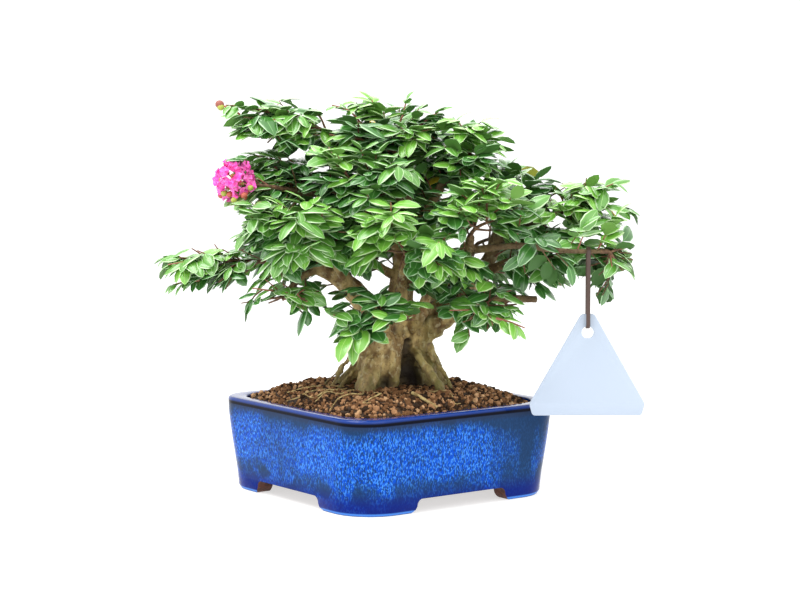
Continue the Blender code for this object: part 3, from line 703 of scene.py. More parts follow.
def round_edges(test: Callable[[object], bool], width: float, steps: int) -> None:
    """Rounds the edges that pass a test, in the given steps, to a width in millimetres."""
    pick(Part.EDGES, test)
    bpy.ops.mesh.bevel(offset=width * MM, segments=steps, affect="EDGES")


def turn_outward() -> None:
    """Turns all faces of the edited mesh outward."""
    bpy.ops.mesh.select_all(action="SELECT")
    bpy.ops.mesh.normals_make_consistent(inside=False)


def shade(made: Thing, angle: float) -> None:
    """Shades an object smooth over edges of up to an angle in degrees."""
    pick_objects(made)
    bpy.ops.object.shade_smooth_by_angle(angle=math.radians(angle))


def soften(made: Thing, width: float, angle: float) -> None:
    """Rounds edges sharper than an angle in degrees to a small width in millimetres."""
    apply(made, "BEVEL", width=width * MM, segments=2, limit_method="ANGLE", angle_limit=math.radians(angle))


def cut_away(made: Thing, cutter: Thing) -> None:
    """Cuts one object out of another and removes the cutter."""
    apply(made, "BOOLEAN", operation="DIFFERENCE", solver="EXACT", object=cutter)
    bpy.data.objects.remove(cutter)


def paint(made: Thing, *finishes: Finish) -> None:
    """Gives an object one material slot for each finish."""
    for finish in finishes:
        made.data.materials.append(finish.material())


def apply(made: Thing, kind: str, **settings: object) -> None:
    """Adds a modifier, sets it up and applies it.

    Args:
        made: The object.
        kind: The modifier's type.
        **settings: Its properties.
    """
    pick_objects(made)
    step = made.modifiers.new(kind.lower(), kind)
    for name, value in settings.items():
        setattr(step, name, value)
    bpy.ops.object.modifier_apply(modifier=step.name)


def dress(made: Thing, body: str, slot: str, *nodes: str) -> Thing:
    """Hands a finished piece to the frame.

    Args:
        made: The piece.
        body: The body that it moves with.
        slot: Not used.
        *nodes: The solids that it replaces.

    Returns:
        The piece.
    """
    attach(made, body)
    if nodes:
        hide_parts(*nodes)
    LOG.info("%s: %d faces", made.name, len(made.data.polygons))
    return made


# ---- many small shapes as one mesh


def upright(direction: Array, steep: float) -> Array:
    """Up, or away where a direction is steeper than the given share."""
    return UP if abs(unit(direction)[2]) < steep else AWAY


def tube_faces(rings: int, sides: int) -> list[list[int]]:
    """Faces of a closed tube.

    Args:
        rings: How many rings of vertices it has.
        sides: How many vertices a ring has.

    Returns:
        The walls, ring by ring, and the two ends.
    """
    faces = []
    for base in range(0, (rings - 1) * sides, sides):
        for side in range(sides):
            after = (side + 1) % sides
            faces.append([base + side, base + after, base + sides + after, base + sides + side])
    last = (rings - 1) * sides
    return faces + [list(range(sides))[::-1], list(range(last, last + sides))]


@dataclass
class Shoal:
    """Vertices and faces of many small shapes that become one mesh."""

    points: list[Array] = field(default_factory=list)
    faces: list[list[int]] = field(default_factory=list)
    slots: list[int] = field(default_factory=list)
    count: int = 0

    def add(self, points: Array, faces: Sequence[Sequence[int]],
            slots: Sequence[int] | None = None) -> None:
        """Adds one shape.

        Args:
            points: Its vertices, in tree places.
            faces: Its faces, counted from its own first vertex.
            slots: Its material slots, face by face.
        """
        self.points.append(points)
        self.faces.extend([index + self.count for index in face] for face in faces)
        self.slots.extend(slots if slots is not None else [0] * len(faces))
        self.count += len(points)

    def tube(self, path: Array, radii: Sequence[float], sides: int = 5) -> None:
        """Adds a closed tapering twig.

        Args:
            path: The places along its middle.
            radii: Its radius at each place.
            sides: How many sides it has.
        """
        turn = np.arange(sides) * math.tau / sides
        rings = []
        for number, (place, radius) in enumerate(zip(path, radii)):
            ahead = path[min(number + 1, len(path) - 1)] - path[max(number - 1, 0)]
            _, across, upward = frame_along(ahead, upright(ahead, 0.95))
            rings.append(place + radius * (np.cos(turn)[:, None] * across + np.sin(turn)[:, None] * upward))
        self.add(np.vstack(rings), tube_faces(len(rings), sides))

    def build(self, name: str, site: Site, finishes: Sequence[Finish],
              smooth: float | None = 50) -> Thing:
        """Makes the mesh object.

        Args:
            name: The piece's name.
            site: Where the tree stands.
            finishes: One finish for each material slot.
            smooth: Angle in degrees up to which edges are shaded smooth, or None for flat faces.

        Returns:
            The object, at the origin.
        """
        data = bpy.data.meshes.new(name)
        data.from_pydata(site.tree(np.vstack(self.points)).tolist(), [], self.faces)
        made = add_object(name, data)
        paint(made, *finishes)
        data.polygons.foreach_set("material_index", self.slots)
        if smooth is not None:
            shade(made, smooth)
        return made


# ---- pot and soil


@dataclass
class GlazedPot:
    """Square pot with rounded corners, a flat lip and four corner feet."""

    site: Site
    height: float = 55.4
    half: float = 75.0
    corner: float = 20.0
    corner_steps: int = 12
    lip_width: float = 8.0
    lip_round: float = 1.8
    lip_inner_round: float = 0.8
    cavity_floor: float = 15.0
    cavity_taper: float = 0.97
    underside: float = 9.0
    foot_height: float = 8.0
    foot_length: float = 38.0
    foot_sweep: float = 10.0
    foot_thickness: float = 9.0
    arch_flare: float = 6.0
    arch_round: float = 3.9
    arch_drop: float = 4.0
    edge_round: float = 0.7
    slack: float = 0.05
    levels: tuple[Place, ...] = (
        (0, 70.9, 24.9), (2, 72.3, 26.5), (8, 72.6, 26), (14, 73, 25.5), (22, 73.5, 24),
        (30, 74, 22.5), (38, 74.5, 21.4), (46, 74.9, 20.5))

    def shape_ring(self, level: float, half: float, corner: float) -> None:
        """Moves the four corner arcs of one ring to a new rounded square.

        Args:
            level: Height of the ring.
            half: Half the side of the new square.
            corner: Its corner radius.
        """
        middle = self.site.origin
        for sign_x, sign_y in product((-1, 1), repeat=2):
            def in_arc(vert: object) -> bool:
                """Whether a vertex is in this corner of this ring."""
                place = (vert.co - middle) / MM
                return abs(place.z - level) < self.slack and place.x * sign_x > 1 and place.y * sign_y > 1
            if not pick(Part.VERTS, in_arc):
                continue
            mesh = bmesh.from_edit_mesh(bpy.context.edit_object.data)
            reaches = [abs(vert.co.x - middle.x) for vert in mesh.verts if vert.select]
            near = min(reaches) / MM
            grow = corner / (max(reaches) / MM - near)
            pivot = middle + Vector((sign_x * near, sign_y * near, level)) * MM
            bpy.ops.transform.resize(value=(grow, grow, 1), center_override=pivot)
            step = (half - corner - near) * MM
            bpy.ops.transform.translate(value=(sign_x * step, sign_y * step, 0))

    def build_shell(self) -> Thing:
        """The pot's body: a block whose corners are rounded, with a narrowing wall, lip and cavity.

        Returns:
            The body without its feet cut.
        """
        x, y, _ = self.site.origin
        half, top = self.half * MM, self.height * MM
        pot = add_block("glazed_pot", (x - half, y - half, 0), (x + half, y + half, top))
        with editing(pot):
            round_edges(lambda edge: abs(edge.verts[0].co.z - edge.verts[1].co.z) > 0.01,
                        self.corner, self.corner_steps)
            for level, _, _ in self.levels[1:]:
                slice_all((0, 0, level * MM), (0, 0, 1))
            for level, ring_half, ring_corner in self.levels:
                self.shape_ring(level, ring_half, ring_corner)
            pick(Part.FACES, lambda face: face.normal.z > 0.9)
            bpy.ops.mesh.inset(thickness=self.lip_width * MM)
            self.shape_ring(self.height, self.half, self.corner)
            self.widen_corners(self.half - self.lip_width)
            pick(Part.FACES, self.is_opening)
            extrude(0, 0, (self.cavity_floor - self.height) * MM)
            bpy.ops.transform.resize(value=(self.cavity_taper, self.cavity_taper, 1),
                                     center_override=(x, y, self.cavity_floor * MM))
            pick(Part.FACES, lambda face: face.normal.z < -0.9)
            bpy.ops.mesh.inset(thickness=self.foot_thickness * MM)
            extrude(0, 0, self.underside * MM)
            round_edges(lambda edge: self.on_lip(edge, outer=True), self.lip_round, 5)
            round_edges(lambda edge: self.on_lip(edge, outer=False), self.lip_inner_round, 3)
        return pot

    def is_opening(self, face: bmesh.types.BMFace) -> bool:
        """Whether a face is the large one that looks up inside the lip."""
        return face.normal.z > 0.9 and len(face.verts) > 8

    def widen_corners(self, inside: float) -> None:
        """Rounds the lip's inner corners wider, so that the lip is broader there.

        Args:
            inside: Half the side of the opening.
        """
        pick(Part.FACES, self.is_opening)
        middle = self.site.origin
        mesh = bmesh.from_edit_mesh(bpy.context.edit_object.data)
        old, new = self.half - self.corner, inside - self.corner
        for vert in mesh.verts:
            if not vert.select:
                continue
            place = (vert.co - middle) / MM
            centre = Vector((math.copysign(old, place.x), math.copysign(old, place.y), place.z))
            moved = Vector((math.copysign(new, place.x), math.copysign(new, place.y), place.z))
            vert.co = (moved + (place - centre).normalized() * self.corner) * MM + middle
        bmesh.update_edit_mesh(bpy.context.edit_object.data)

    def on_lip(self, edge: bmesh.types.BMEdge, outer: bool) -> bool:
        """Whether an edge is the lip's outer or inner rim.

        Args:
            edge: The edge.
            outer: Whether the outer rim is meant.

        Returns:
            True if it is on that rim.
        """
        places = [(vert.co - self.site.origin) / MM for vert in edge.verts]
        if any(abs(place.z - self.height) > self.slack for place in places):
            return False
        walls = [face for face in edge.link_faces if abs(face.normal.z) < 0.5]
        middle = (places[0] + places[1]) / 2
        facing = [face.normal.xy.dot(middle.xy) > 0 for face in walls]
        return len(walls) == 1 and facing[0] == outer and max(abs(middle.x), abs(middle.y)) > self.corner

    def build_arch(self, side: int) -> Thing:
        """The block that cuts two gaps between feet: its top has round shoulders and its foot flares.

        Args:
            side: 0 where the gaps lie along X, and 1 where they lie along Y.

        Returns:
            The block.
        """
        x, y, _ = self.site.origin
        middle = (self.half - self.foot_length - self.foot_sweep / 2) * MM
        reach = [self.half * 1.2 * MM] * 2
        reach[side] = middle
        arch = add_block(f"arch_{side}", (x - reach[0], y - reach[1], -self.arch_drop * MM),
                         (x + reach[0], y + reach[1], self.foot_height * MM))
        edge_at = (x, y)[side]

        def is_shoulder(edge: bmesh.types.BMEdge) -> bool:
            """Whether an edge runs along the block's own side, at its top or at the ground."""
            return any(all(abs(vert.co.z - level) < 1e-5 and abs(abs(vert.co[side] - edge_at) - middle) < 1e-5
                           for vert in edge.verts) for level in (self.foot_height * MM, 0.0))

        with editing(arch):
            slice_all((0, 0, 0), (0, 0, 1))
            for sign in (-1, 1):
                pick(Part.FACES, lambda face: (face.normal[side] * sign > 0.9
                                               and face.calc_center_median().z < 0))
                step = [0.0, 0.0, 0.0]
                step[side] = sign * self.arch_flare * MM
                extrude(*step)
            round_edges(is_shoulder, self.arch_round, 6)
        return arch

    def is_bare(self, face: bpy.types.MeshPolygon) -> bool:
        """Whether a face is unglazed: under the pot, or where a foot was cut.

        Args:
            face: A face of the finished pot.

        Returns:
            True for bare clay.
        """
        place = (face.center - self.site.origin) / MM
        if place.z > self.underside + 0.1:
            return False
        if face.normal.z < -0.95:
            return True
        end = self.half - self.foot_length + 0.5
        outward = face.normal.xy.dot(place.xy)
        if abs(place.x) < end:
            outward = face.normal.y * place.y - 60 * abs(face.normal.x)
        elif abs(place.y) < end:
            outward = face.normal.x * place.x - 60 * abs(face.normal.y)
        return outward < 0

    def build(self) -> Thing:
        """Builds, rounds and glazes the pot.

        Returns:
            The pot.
        """
        pot = self.build_shell()
        for side in (0, 1):
            cut_away(pot, self.build_arch(side))
        soften(pot, self.edge_round, 40)
        clay = SpottedFinish("bare_red_clay", srgb(92, 54, 42), srgb(72, 44, 36), Mottle(3))
        paint(pot, GlazeFinish(), clay)
        for face in pot.data.polygons:
            face.material_index = int(self.is_bare(face))
        shade(pot, 35)
        return dress(pot, "plant", "glazed_clay", "pot")


@dataclass
class GranuleSoil:
    """Baked clay granules that rise from the lip to a low mound under the trunk."""

    site: Site
    half: float = 66.6
    corner: float = 20.0
    edge: float = 52.2
    top: float = 62.1
    plateau: float = 46.0
    flat: float = 30.0
    lump_rise: float = 1.1
    lump_spacing: float = 17.0
    grid: int = 72
    granules: int = 6200
    lump_phases: Span = (0.6, 1.1)
    lump_fade: float = 4.0
    ripple: float = 0.4
    depth: float = 20.0
    rim_gap: float = 1.2
    sink: float = 0.35
    seed: int = 5
    tints: tuple[tuple[int, int, int], ...] = ((114, 80, 52), (164, 122, 86), (50, 34, 22), (194, 154, 114))
    shares: tuple[float, ...] = (0.38, 0.24, 0.31, 0.07)
    sizes: tuple[float, ...] = (0.7, 1.0, 1.35, 1.8)
    size_shares: tuple[float, ...] = (0.3, 0.35, 0.25, 0.1)

    def rim(self, angle: float) -> float:
        """Distance from the middle to the soil's rounded-square edge.

        Args:
            angle: Direction, in radians from X.

        Returns:
            The distance in millimetres.
        """
        cos, sin = abs(math.cos(angle)), abs(math.sin(angle))
        flat = self.half / max(cos, sin)
        if min(cos, sin) * flat <= self.half - self.corner:
            return flat
        inner = self.half - self.corner
        along = inner * (cos + sin)
        return along + math.sqrt(max(along * along - 2 * inner * inner + self.corner ** 2, 0))

    def height_at(self, x: float, y: float) -> float:
        """Height of the soil, with its small lumps.

        Args:
            x: Place along the pot's X, from its middle.
            y: Place along the pot's Y.

        Returns:
            Height in millimetres.
        """
        distance = math.hypot(x, y)
        rim = self.rim(math.atan2(y, x))
        share = min(max((rim - distance) / max(rim - self.plateau, 1), 0), 1)
        rise = math.sin(math.pi / 2 * share)
        turn = math.tau / (self.lump_spacing * math.sqrt(2))
        wave = math.sin(x * turn + self.lump_phases[0]) * math.sin(y * turn + self.lump_phases[1])
        if distance > self.plateau + 1:
            lump = self.lump_rise * wave * min((rim - distance) / self.lump_fade, 1)
        else:
            outer = min(max((distance - self.flat) / (self.plateau - self.flat), 0), 1)
            lump = self.lump_rise * outer * min(wave, 0)
        ripple = noise.noise(Vector((x, y, 7)) * 0.4) * self.ripple
        return self.edge + (self.top - self.edge) * rise + lump + ripple

    def build_bed(self) -> Thing:
        """The closed bed that the granules lie on: a grid drawn to the pot's shape and given depth.

        Returns:
            The bed.
        """
        x, y, _ = self.site.origin
        bed = add_primitive(bpy.ops.mesh.primitive_grid_add, "soil_bed",
                            x_subdivisions=self.grid, y_subdivisions=self.grid,
                            size=2 * self.half * MM, location=(x, y, self.edge * MM))
        for vert in bed.data.vertices:
            place = (vert.co - self.site.origin) / MM
            angle = math.atan2(place.y, place.x)
            reach = self.rim(angle) * (max(abs(place.x), abs(place.y)) / self.half)
            place = Vector((reach * math.cos(angle), reach * math.sin(angle), 0))
            place.z = self.height_at(place.x, place.y)
            vert.co = place * MM + self.site.origin
        with editing(bed):
            pick(Part.EDGES, lambda edge: edge.is_boundary)
            extrude(0, 0, -self.depth * MM)
            bpy.ops.mesh.edge_face_add()
            turn_outward()
        paint(bed, SpottedFinish("soil_dust", srgb(74, 54, 38), srgb(44, 31, 21),
                                 Mottle(2.2, 0.5, 0.2), 0.95, 0.6))
        shade(bed, 60)
        return bed

    def lump(self) -> tuple[Array, list[list[int]]]:
        """The granule that is copied: a coarse ball.

        Returns:
            Its vertices and faces.
        """
        ball = add_primitive(bpy.ops.mesh.primitive_ico_sphere_add, "granule", subdivisions=1, radius=1)
        points = np.array([vert.co for vert in ball.data.vertices])
        faces = [list(face.vertices) for face in ball.data.polygons]
        bpy.data.objects.remove(ball)
        return points, faces

    def scatter(self) -> list[Shoal]:
        """Lays turned and stretched granules on the bed.

        Returns:
            One shoal for each tint.
        """
        rng = np.random.default_rng(self.seed)
        points, faces = self.lump()
        shoals = [Shoal() for _ in self.tints]
        placed = 0
        while placed < self.granules:
            x, y = rng.uniform(-self.half, self.half, 2)
            if math.hypot(x, y) > self.rim(math.atan2(y, x)) - self.rim_gap:
                continue
            size = rng.choice(self.sizes, p=self.size_shares) * rng.uniform(0.85, 1.15)
            shape = points * (size * rng.uniform(0.7, 1.15, 3))
            shape = shape + rng.uniform(-0.16, 0.16, points.shape) * size
            turn = Matrix(np.linalg.qr(rng.normal(size=(3, 3)))[0].tolist())
            if turn.determinant() < 0:
                turn.negate()
            place = np.array((x, y, self.height_at(x, y) + size * self.sink))
            shape = (shape @ np.array(turn) + place) @ TREE_AXES
            shoals[rng.choice(len(shoals), p=self.shares)].add(shape, faces)
            placed += 1
        return shoals

    def build(self) -> list[Thing]:
        """Builds the bed and the granules, one piece for each tint.

        Returns:
            The pieces.
        """
        pieces = [dress(self.build_bed(), "plant", "soil_granules", "soil")]
        for number, (shoal, tint) in enumerate(zip(self.scatter(), self.tints)):
            finish = PlainFinish(f"granule_{number}", srgb(*tint), roughness=0.95, specular=0.2)
            pieces.append(dress(shoal.build(f"soil_granules_{number}", self.site, [finish], None),
                                "plant", "soil_granules", "soil"))
        return pieces


# ---- wood


LIMB_STEPS = 80


@dataclass(frozen=True)
class Limb:
    """A tapering limb that runs through a few places from inside its parent to its tip."""

    name: str
    points: tuple[Place, ...]
    thick: float
    thin: float
    collar: float

    def fine(self) -> Array:
        """Even places along the limb, LIMB_STEPS + 1 of them."""
        return smooth_path(self.points, LIMB_STEPS + 1)

    def radius_at(self, share: Array) -> Array:
        """Radius at shares of the limb's length."""
        return self.thick + (self.thin - self.thick) * share ** 0.8

    def tip(self) -> tuple[Array, Array]:
        """Place of the limb's end, and its heading there."""
        path = self.fine()
        return path[-1], unit(path[-1] - path[-5])


LIMBS = (
    Limb("bough_leader", ((4, 2, 96), (9, -1, 128), (13, 1, 158), (5, 3, 192)), 10, 4, 20),
    Limb("bough_left", ((-4, -2, 98), (-22, -8, 122), (-44, -14, 136), (-68, -18, 138)), 9, 3, 17),
    Limb("bough_right", ((18, 4, 97), (42, 8, 116), (60, 10, 136), (70, 12, 164)), 9, 3.4, 26),
    Limb("bough_right_low", ((20, -2, 92), (42, -14, 109), (55, -32, 115)), 6.5, 3, 20),
    Limb("bough_front", ((6, -8, 98), (8, -24, 122), (10, -38, 140)), 6, 2.6, 20),
    Limb("bough_front_low", ((0, -8, 92), (-2, -22, 100), (-4, -36, 105)), 4, 2.4, 21),
    Limb("bough_back", ((8, 12, 96), (8, 26, 122), (4, 38, 150)), 7, 3, 19),
    Limb("bough_back_left", ((-2, 10, 96), (-22, 24, 120), (-38, 34, 146)), 7, 3, 22),
    Limb("bough_back_right", ((18, 10, 96), (36, 24, 118), (52, 36, 142)), 7, 3, 22),
    Limb("bough_left_mid", ((12, 0, 142), (-8, 3, 158), (-38, 6, 180)), 4.5, 2.4, 13),
    Limb("bough_right_top", ((12, 1, 150), (26, 0, 172), (36, -1, 190)), 4.2, 2.2, 17),
    Limb("bough_left_top", ((8, 2, 176), (-6, 4, 192), (-26, 5, 208)), 3.6, 2.0, 13),
    Limb("bough_front_top", ((11, 0, 134), (2, -18, 152), (-10, -28, 172)), 4.2, 2.2, 14),
    Limb("bough_back_top", ((10, 3, 166), (10, 18, 178), (10, 32, 190)), 3.8, 2.0, 11),
    Limb("bough_left_front", ((-22, -8, 122), (-32, -24, 140), (-42, -36, 154)), 4.2, 2.2, 15),
    Limb("bough_blossom", ((-30, 6, 174), (-46, -6, 178), (-61, -13, 181)), 2.4, 1.7, 11),
    Limb("bough_right_far", ((65, 11, 148), (80, 4, 158), (98, -4, 165)), 3.6, 2.2, 12),
    Limb("bough_right_mid", ((50, 9, 124), (66, 2, 134), (80, -6, 140)), 3.8, 2.2, 18),
    Limb("bough_front_right", ((46, 8, 119), (46, -12, 134), (48, -34, 154)), 4.6, 2.4, 13),
    Limb("bough_tag", ((47, -24, 145), (74, -42, 149), (98, -46, 146.4), (111, -46, 146), (124, -46, 146)),
         2.6, 1.5, 11),
    Limb("bough_left_hang", ((-40, -12, 134), (-50, -24, 130), (-58, -32, 122)), 3.2, 1.9, 11),
    Limb("bough_inner_left", ((9, -1, 126), (-4, -10, 134), (-15, -16, 142)), 3.8, 2.0, 15),
    Limb("bough_inner_right", ((14, -6, 97), (22, -18, 115), (26, -26, 132)), 4.8, 2.2, 20),
    Limb("bough_cut_stub", ((40, -12, 108), (62, -10, 115), (88, -17, 116)), 3, 2.2, 12),
)


@dataclass(frozen=True)
class Stem:
    """One of the fused trunks, or a root: places along its middle and its radii."""

    points: tuple[Place, ...]
    radii: tuple[float, ...]


@dataclass(frozen=True)
class Knot:
    """A cut knob or burl on the trunk, and how much painted shade darkens its middle."""

    place: Place
    radius: float
    rise: float
    dark: float


def rough(places: Array, scale: object, shift: float = 0.0) -> Array:
    """Smooth noise from -1 to 1 at scaled places, whose third coordinate is then shifted."""
    return np.array([noise.noise(Vector(place)) for place in places * np.array(scale) + (0, 0, shift)])


def bell(distance: Array, width: object) -> Array:
    """Bell curve: 1 at distance 0, falling away over the width."""
    return np.exp(-(distance / width) ** 2)


def rise(values: Array, start: float, end: float) -> Array:
    """Values mapped evenly from start..end to 0..1, and kept between them."""
    return np.clip((values - start) / (end - start), 0, 1)


@dataclass
class Wood:
    """Trunk, roots and limbs as one skin with the bark's relief."""

    site: Site
    voxel: float = 0.82
    stems: tuple[Stem, ...] = (
        Stem(((-3, -5, 58), (-3, -7, 72), (-2, -5, 88), (0, -2, 102), (3, 0, 114)), (14, 15.5, 16, 15.5, 11)),
        Stem(((20, 2, 58), (18, 3, 72), (14, 3, 88), (16, 3, 100), (19, 4, 112)), (14.5, 13, 12.5, 13, 10)),
        Stem(((6, 8, 58), (6, 8, 80), (7, 8, 96), (8, 8, 110)), (16, 15, 14, 11)),
    )
    roots: tuple[Stem, ...] = (
        Stem(((-6, -13, 84), (-12, -24, 69), (-15, -30, 58)), (8, 5.5)),
        Stem(((12, -8, 84), (24, -21, 73), (33, -30, 60)), (3.8, 2.8)),
        Stem(((20, 0, 82), (30, 3, 66), (35, 4, 58)), (8, 4.5)),
        Stem(((-10, 2, 80), (-26, 4, 66), (-33, 5, 59)), (5, 3)),
        Stem(((-6, 12, 82), (-20, 28, 66), (-26, 34, 58)), (8, 4.5)),
        Stem(((14, 14, 82), (26, 30, 66), (31, 36, 58)), (8, 4.5)),
        Stem(((-14, -3, 88), (-26, -5, 76), (-35, -7, 60)), (1.6, 1.2)),
        Stem(((-13, 0, 85), (-24, -2, 77), (-40, 2, 61)), (1.1, 0.8)),
        Stem(((-13, -6, 80), (-22, -10, 71), (-31, -14, 60)), (1.2, 0.9)),
        Stem(((24, -8, 84), (34, -14, 70), (38, -20, 60)), (2.0, 1.4)),
    )
    knots: tuple[Knot, ...] = (
        Knot((14, -17, 96), 4.5, 1.6, 0.3), Knot((23, -12, 104), 5.0, 2.2, 0.8),
        Knot((-2, -20, 65), 5.2, -5.0, 1.0), Knot((36, -2, 101), 3.5, 1.0, 0.5),
    )
    cleft_top: Place = (12, -20, 91)
    cleft_foot: Place = (14, -24, 61)
    cleft_widths: Span = (1.4, 6.6)
    cleft_depth: float = 7.0
    trunk_middle: Place = (6, 2, 110)
    trunk_top: Span = (112, 98)
    trunk_reach: Span = (67.2, 19.2)
    coarse_depth: float = 2.2
    ridge_depth: float = 1.7
    grain_depth: float = 0.25
    moss_right: float = 18.0
    dirt_up: Span = (84, 64)
    twig_reach: Span = (40, 80)
    run_steps: int = 12
    run_lumps: float = 0.16
    soil_cut: float = 59.0

    def run(self, name: str, path: Array, radii: Array) -> Thing:
        """A round tapering run of wood, made from a bevelled curve.

        Args:
            name: The object's name.
            path: Tree places along its middle.
            radii: Its radius at each place, in millimetres.

        Returns:
            The run as a mesh.
        """
        data = bpy.data.curves.new(name, "CURVE")
        data.dimensions = "3D"
        data.bevel_depth = MM
        data.bevel_resolution = 3
        data.use_fill_caps = True
        spline = data.splines.new("POLY")
        spline.points.add(len(path) - 1)
        for point, place, radius in zip(spline.points, self.site.tree(path), radii):
            point.co = (*place, 1)
            point.radius = radius
        made = add_object(name, data)
        pick_objects(made)
        bpy.ops.object.convert(target="MESH")
        return made

    def skeleton(self) -> list[Thing]:
        """All runs of the trunk, the roots and the limbs; the limbs are a little lumpy along their length.

        Returns:
            The runs.
        """
        runs = []
        for number, stem in enumerate(self.stems + self.roots):
            path = smooth_path(stem.points, self.run_steps)
            radii = np.interp(np.linspace(0, 1, len(path)), np.linspace(0, 1, len(stem.radii)), stem.radii)
            runs.append(self.run(f"stem_{number}", path, radii))
        for limb in LIMBS:
            path = limb.fine()[::4]
            share = np.linspace(0, 1, len(path))
            lumps = np.array([noise.noise(Vector(place) * 0.12) for place in path])
            radii = limb.radius_at(share) * (1 + self.run_lumps * lumps * np.minimum(share * 4, 1))
            runs.append(self.run(limb.name + "_run", path, radii))
        return runs

    def cleft(self, tree: Array) -> Array:
        """How deep the cleft in the trunk's front is.

        Args:
            tree: Tree places on the skin.

        Returns:
            1 in the cleft's middle, and 0 away from it, for each place.
        """
        top, foot = np.array(self.cleft_top, dtype=float), np.array(self.cleft_foot, dtype=float)
        share = np.clip(((tree - top) @ (foot - top)) / ((foot - top) @ (foot - top)), 0, 1)
        across = np.linalg.norm((tree - top - share[:, None] * (foot - top))[:, [0, 2]], axis=1)
        wander = np.sin(share * 7) * 0.45
        narrow, wide = self.cleft_widths
        return bell(across + wander, narrow + (wide - narrow) * share)

    def carve(self, wood: Thing) -> None:
        """Moves the skin's points by ridges, knots and the cleft, and paints moss and the shade of its
        hollows.

        The attribute bark_tone keeps moss in red, painted shade of the hollows in green and twig brown in
        blue.

        Args:
            wood: The skin.
        """
        data = wood.data
        points, normals = np.empty((2, len(data.vertices) * 3))
        data.vertices.foreach_get("co", points)
        data.vertices.foreach_get("normal", normals)
        points, normals = points.reshape(-1, 3), normals.reshape(-1, 3)
        tree = (points - np.array(self.site.origin)) / MM @ TREE_AXES
        facing = normals @ TREE_AXES
        off_axis = np.linalg.norm(tree[:, :2] - self.trunk_middle[:2], axis=1)
        trunk = rise(tree[:, 2], *self.trunk_top) * rise(off_axis, *self.trunk_reach)
        coarse, ridge = rough(tree, (0.11, 0.11, 0.09)), rough(tree, (0.34, 0.34, 0.16), 9)
        push = trunk * (coarse * self.coarse_depth + ridge * self.ridge_depth)
        push += self.grain_depth * (1 + trunk) * rough(tree, 0.9)
        moss, hollow, twig, _ = tone = np.ones((4, len(tree)))
        hollow[:] = 0
        for knot in self.knots:
            distance = np.linalg.norm(tree - knot.place, axis=1) / knot.radius
            ring, middle = bell(distance - 0.9, 0.35), bell(distance, 0.55)
            if knot.rise > 0:
                push += knot.rise * ring - middle * 0.8
            else:
                push += knot.rise * (ring * 0.2 + middle)
            # Painted shade in each knot's middle.
            np.maximum(hollow, knot.dark * bell(distance, 0.6), out=hollow)
        cleft = self.cleft(tree) * ((tree[:, 1] < 2) & (facing[:, 1] < 0.3)) * trunk
        push -= cleft * self.cleft_depth
        # Painted shade in the cleft and wherever the skin is pushed inward.
        np.maximum(hollow, np.clip(cleft * 1.1, 0, 1), out=hollow)
        np.maximum(hollow, np.clip(-push * 0.4 - 0.12, 0, 0.8), out=hollow)
        mossy = trunk * np.clip(0.55 + coarse * 1.2, 0, 1)
        mossy /= 1 + np.exp((self.moss_right - tree[:, 0]) / 4)
        dirt = rise(tree[:, 2], *self.dirt_up) * np.clip(0.5 + ridge * 1.4, 0, 1)
        moss[:] = np.clip((mossy + dirt) * 0.8, 0, 1)
        twig[:] = rise(np.linalg.norm(tree - self.trunk_middle, axis=1), *self.twig_reach) * 0.9
        data.vertices.foreach_set("co", (points + normals * push[:, None] * MM).ravel())
        layer = data.attributes.new("bark_tone", "FLOAT_COLOR", "POINT")
        layer.data.foreach_set("color", tone.T.ravel())
        data.validate()
        data.update()

    def build(self) -> Thing:
        """Builds the wood and gives it its bark.

        Returns:
            The piece.
        """
        runs = self.skeleton()
        pick_objects(*runs)
        bpy.ops.object.join()
        wood = settle(bpy.context.active_object, "trunk_and_boughs")
        apply(wood, "REMESH", mode="VOXEL", voxel_size=self.voxel * MM)
        apply(wood, "SMOOTH", factor=0.6, iterations=4)
        with editing(wood):
            slice_all((0, 0, self.soil_cut * MM), (0, 0, -1), clear_outer=True, use_fill=True)
        self.carve(wood)
        wood.data.materials.clear()
        paint(wood, BarkFinish())
        pick_objects(wood)
        bpy.ops.object.shade_smooth()
        return dress(wood, "plant", "bark", "trunk", *[limb.name for limb in LIMBS])


# ---- foliage


@dataclass(frozen=True)
class Mass:
    """A mass of foliage: its egg-shaped space, and the stem that grows into it from a limb."""

    name: str
    limb: str
    centre: Place
    half: Place
    reach: Place
    twigs: int
    leaves: int = 20
    leaf_edge: float = 1.14


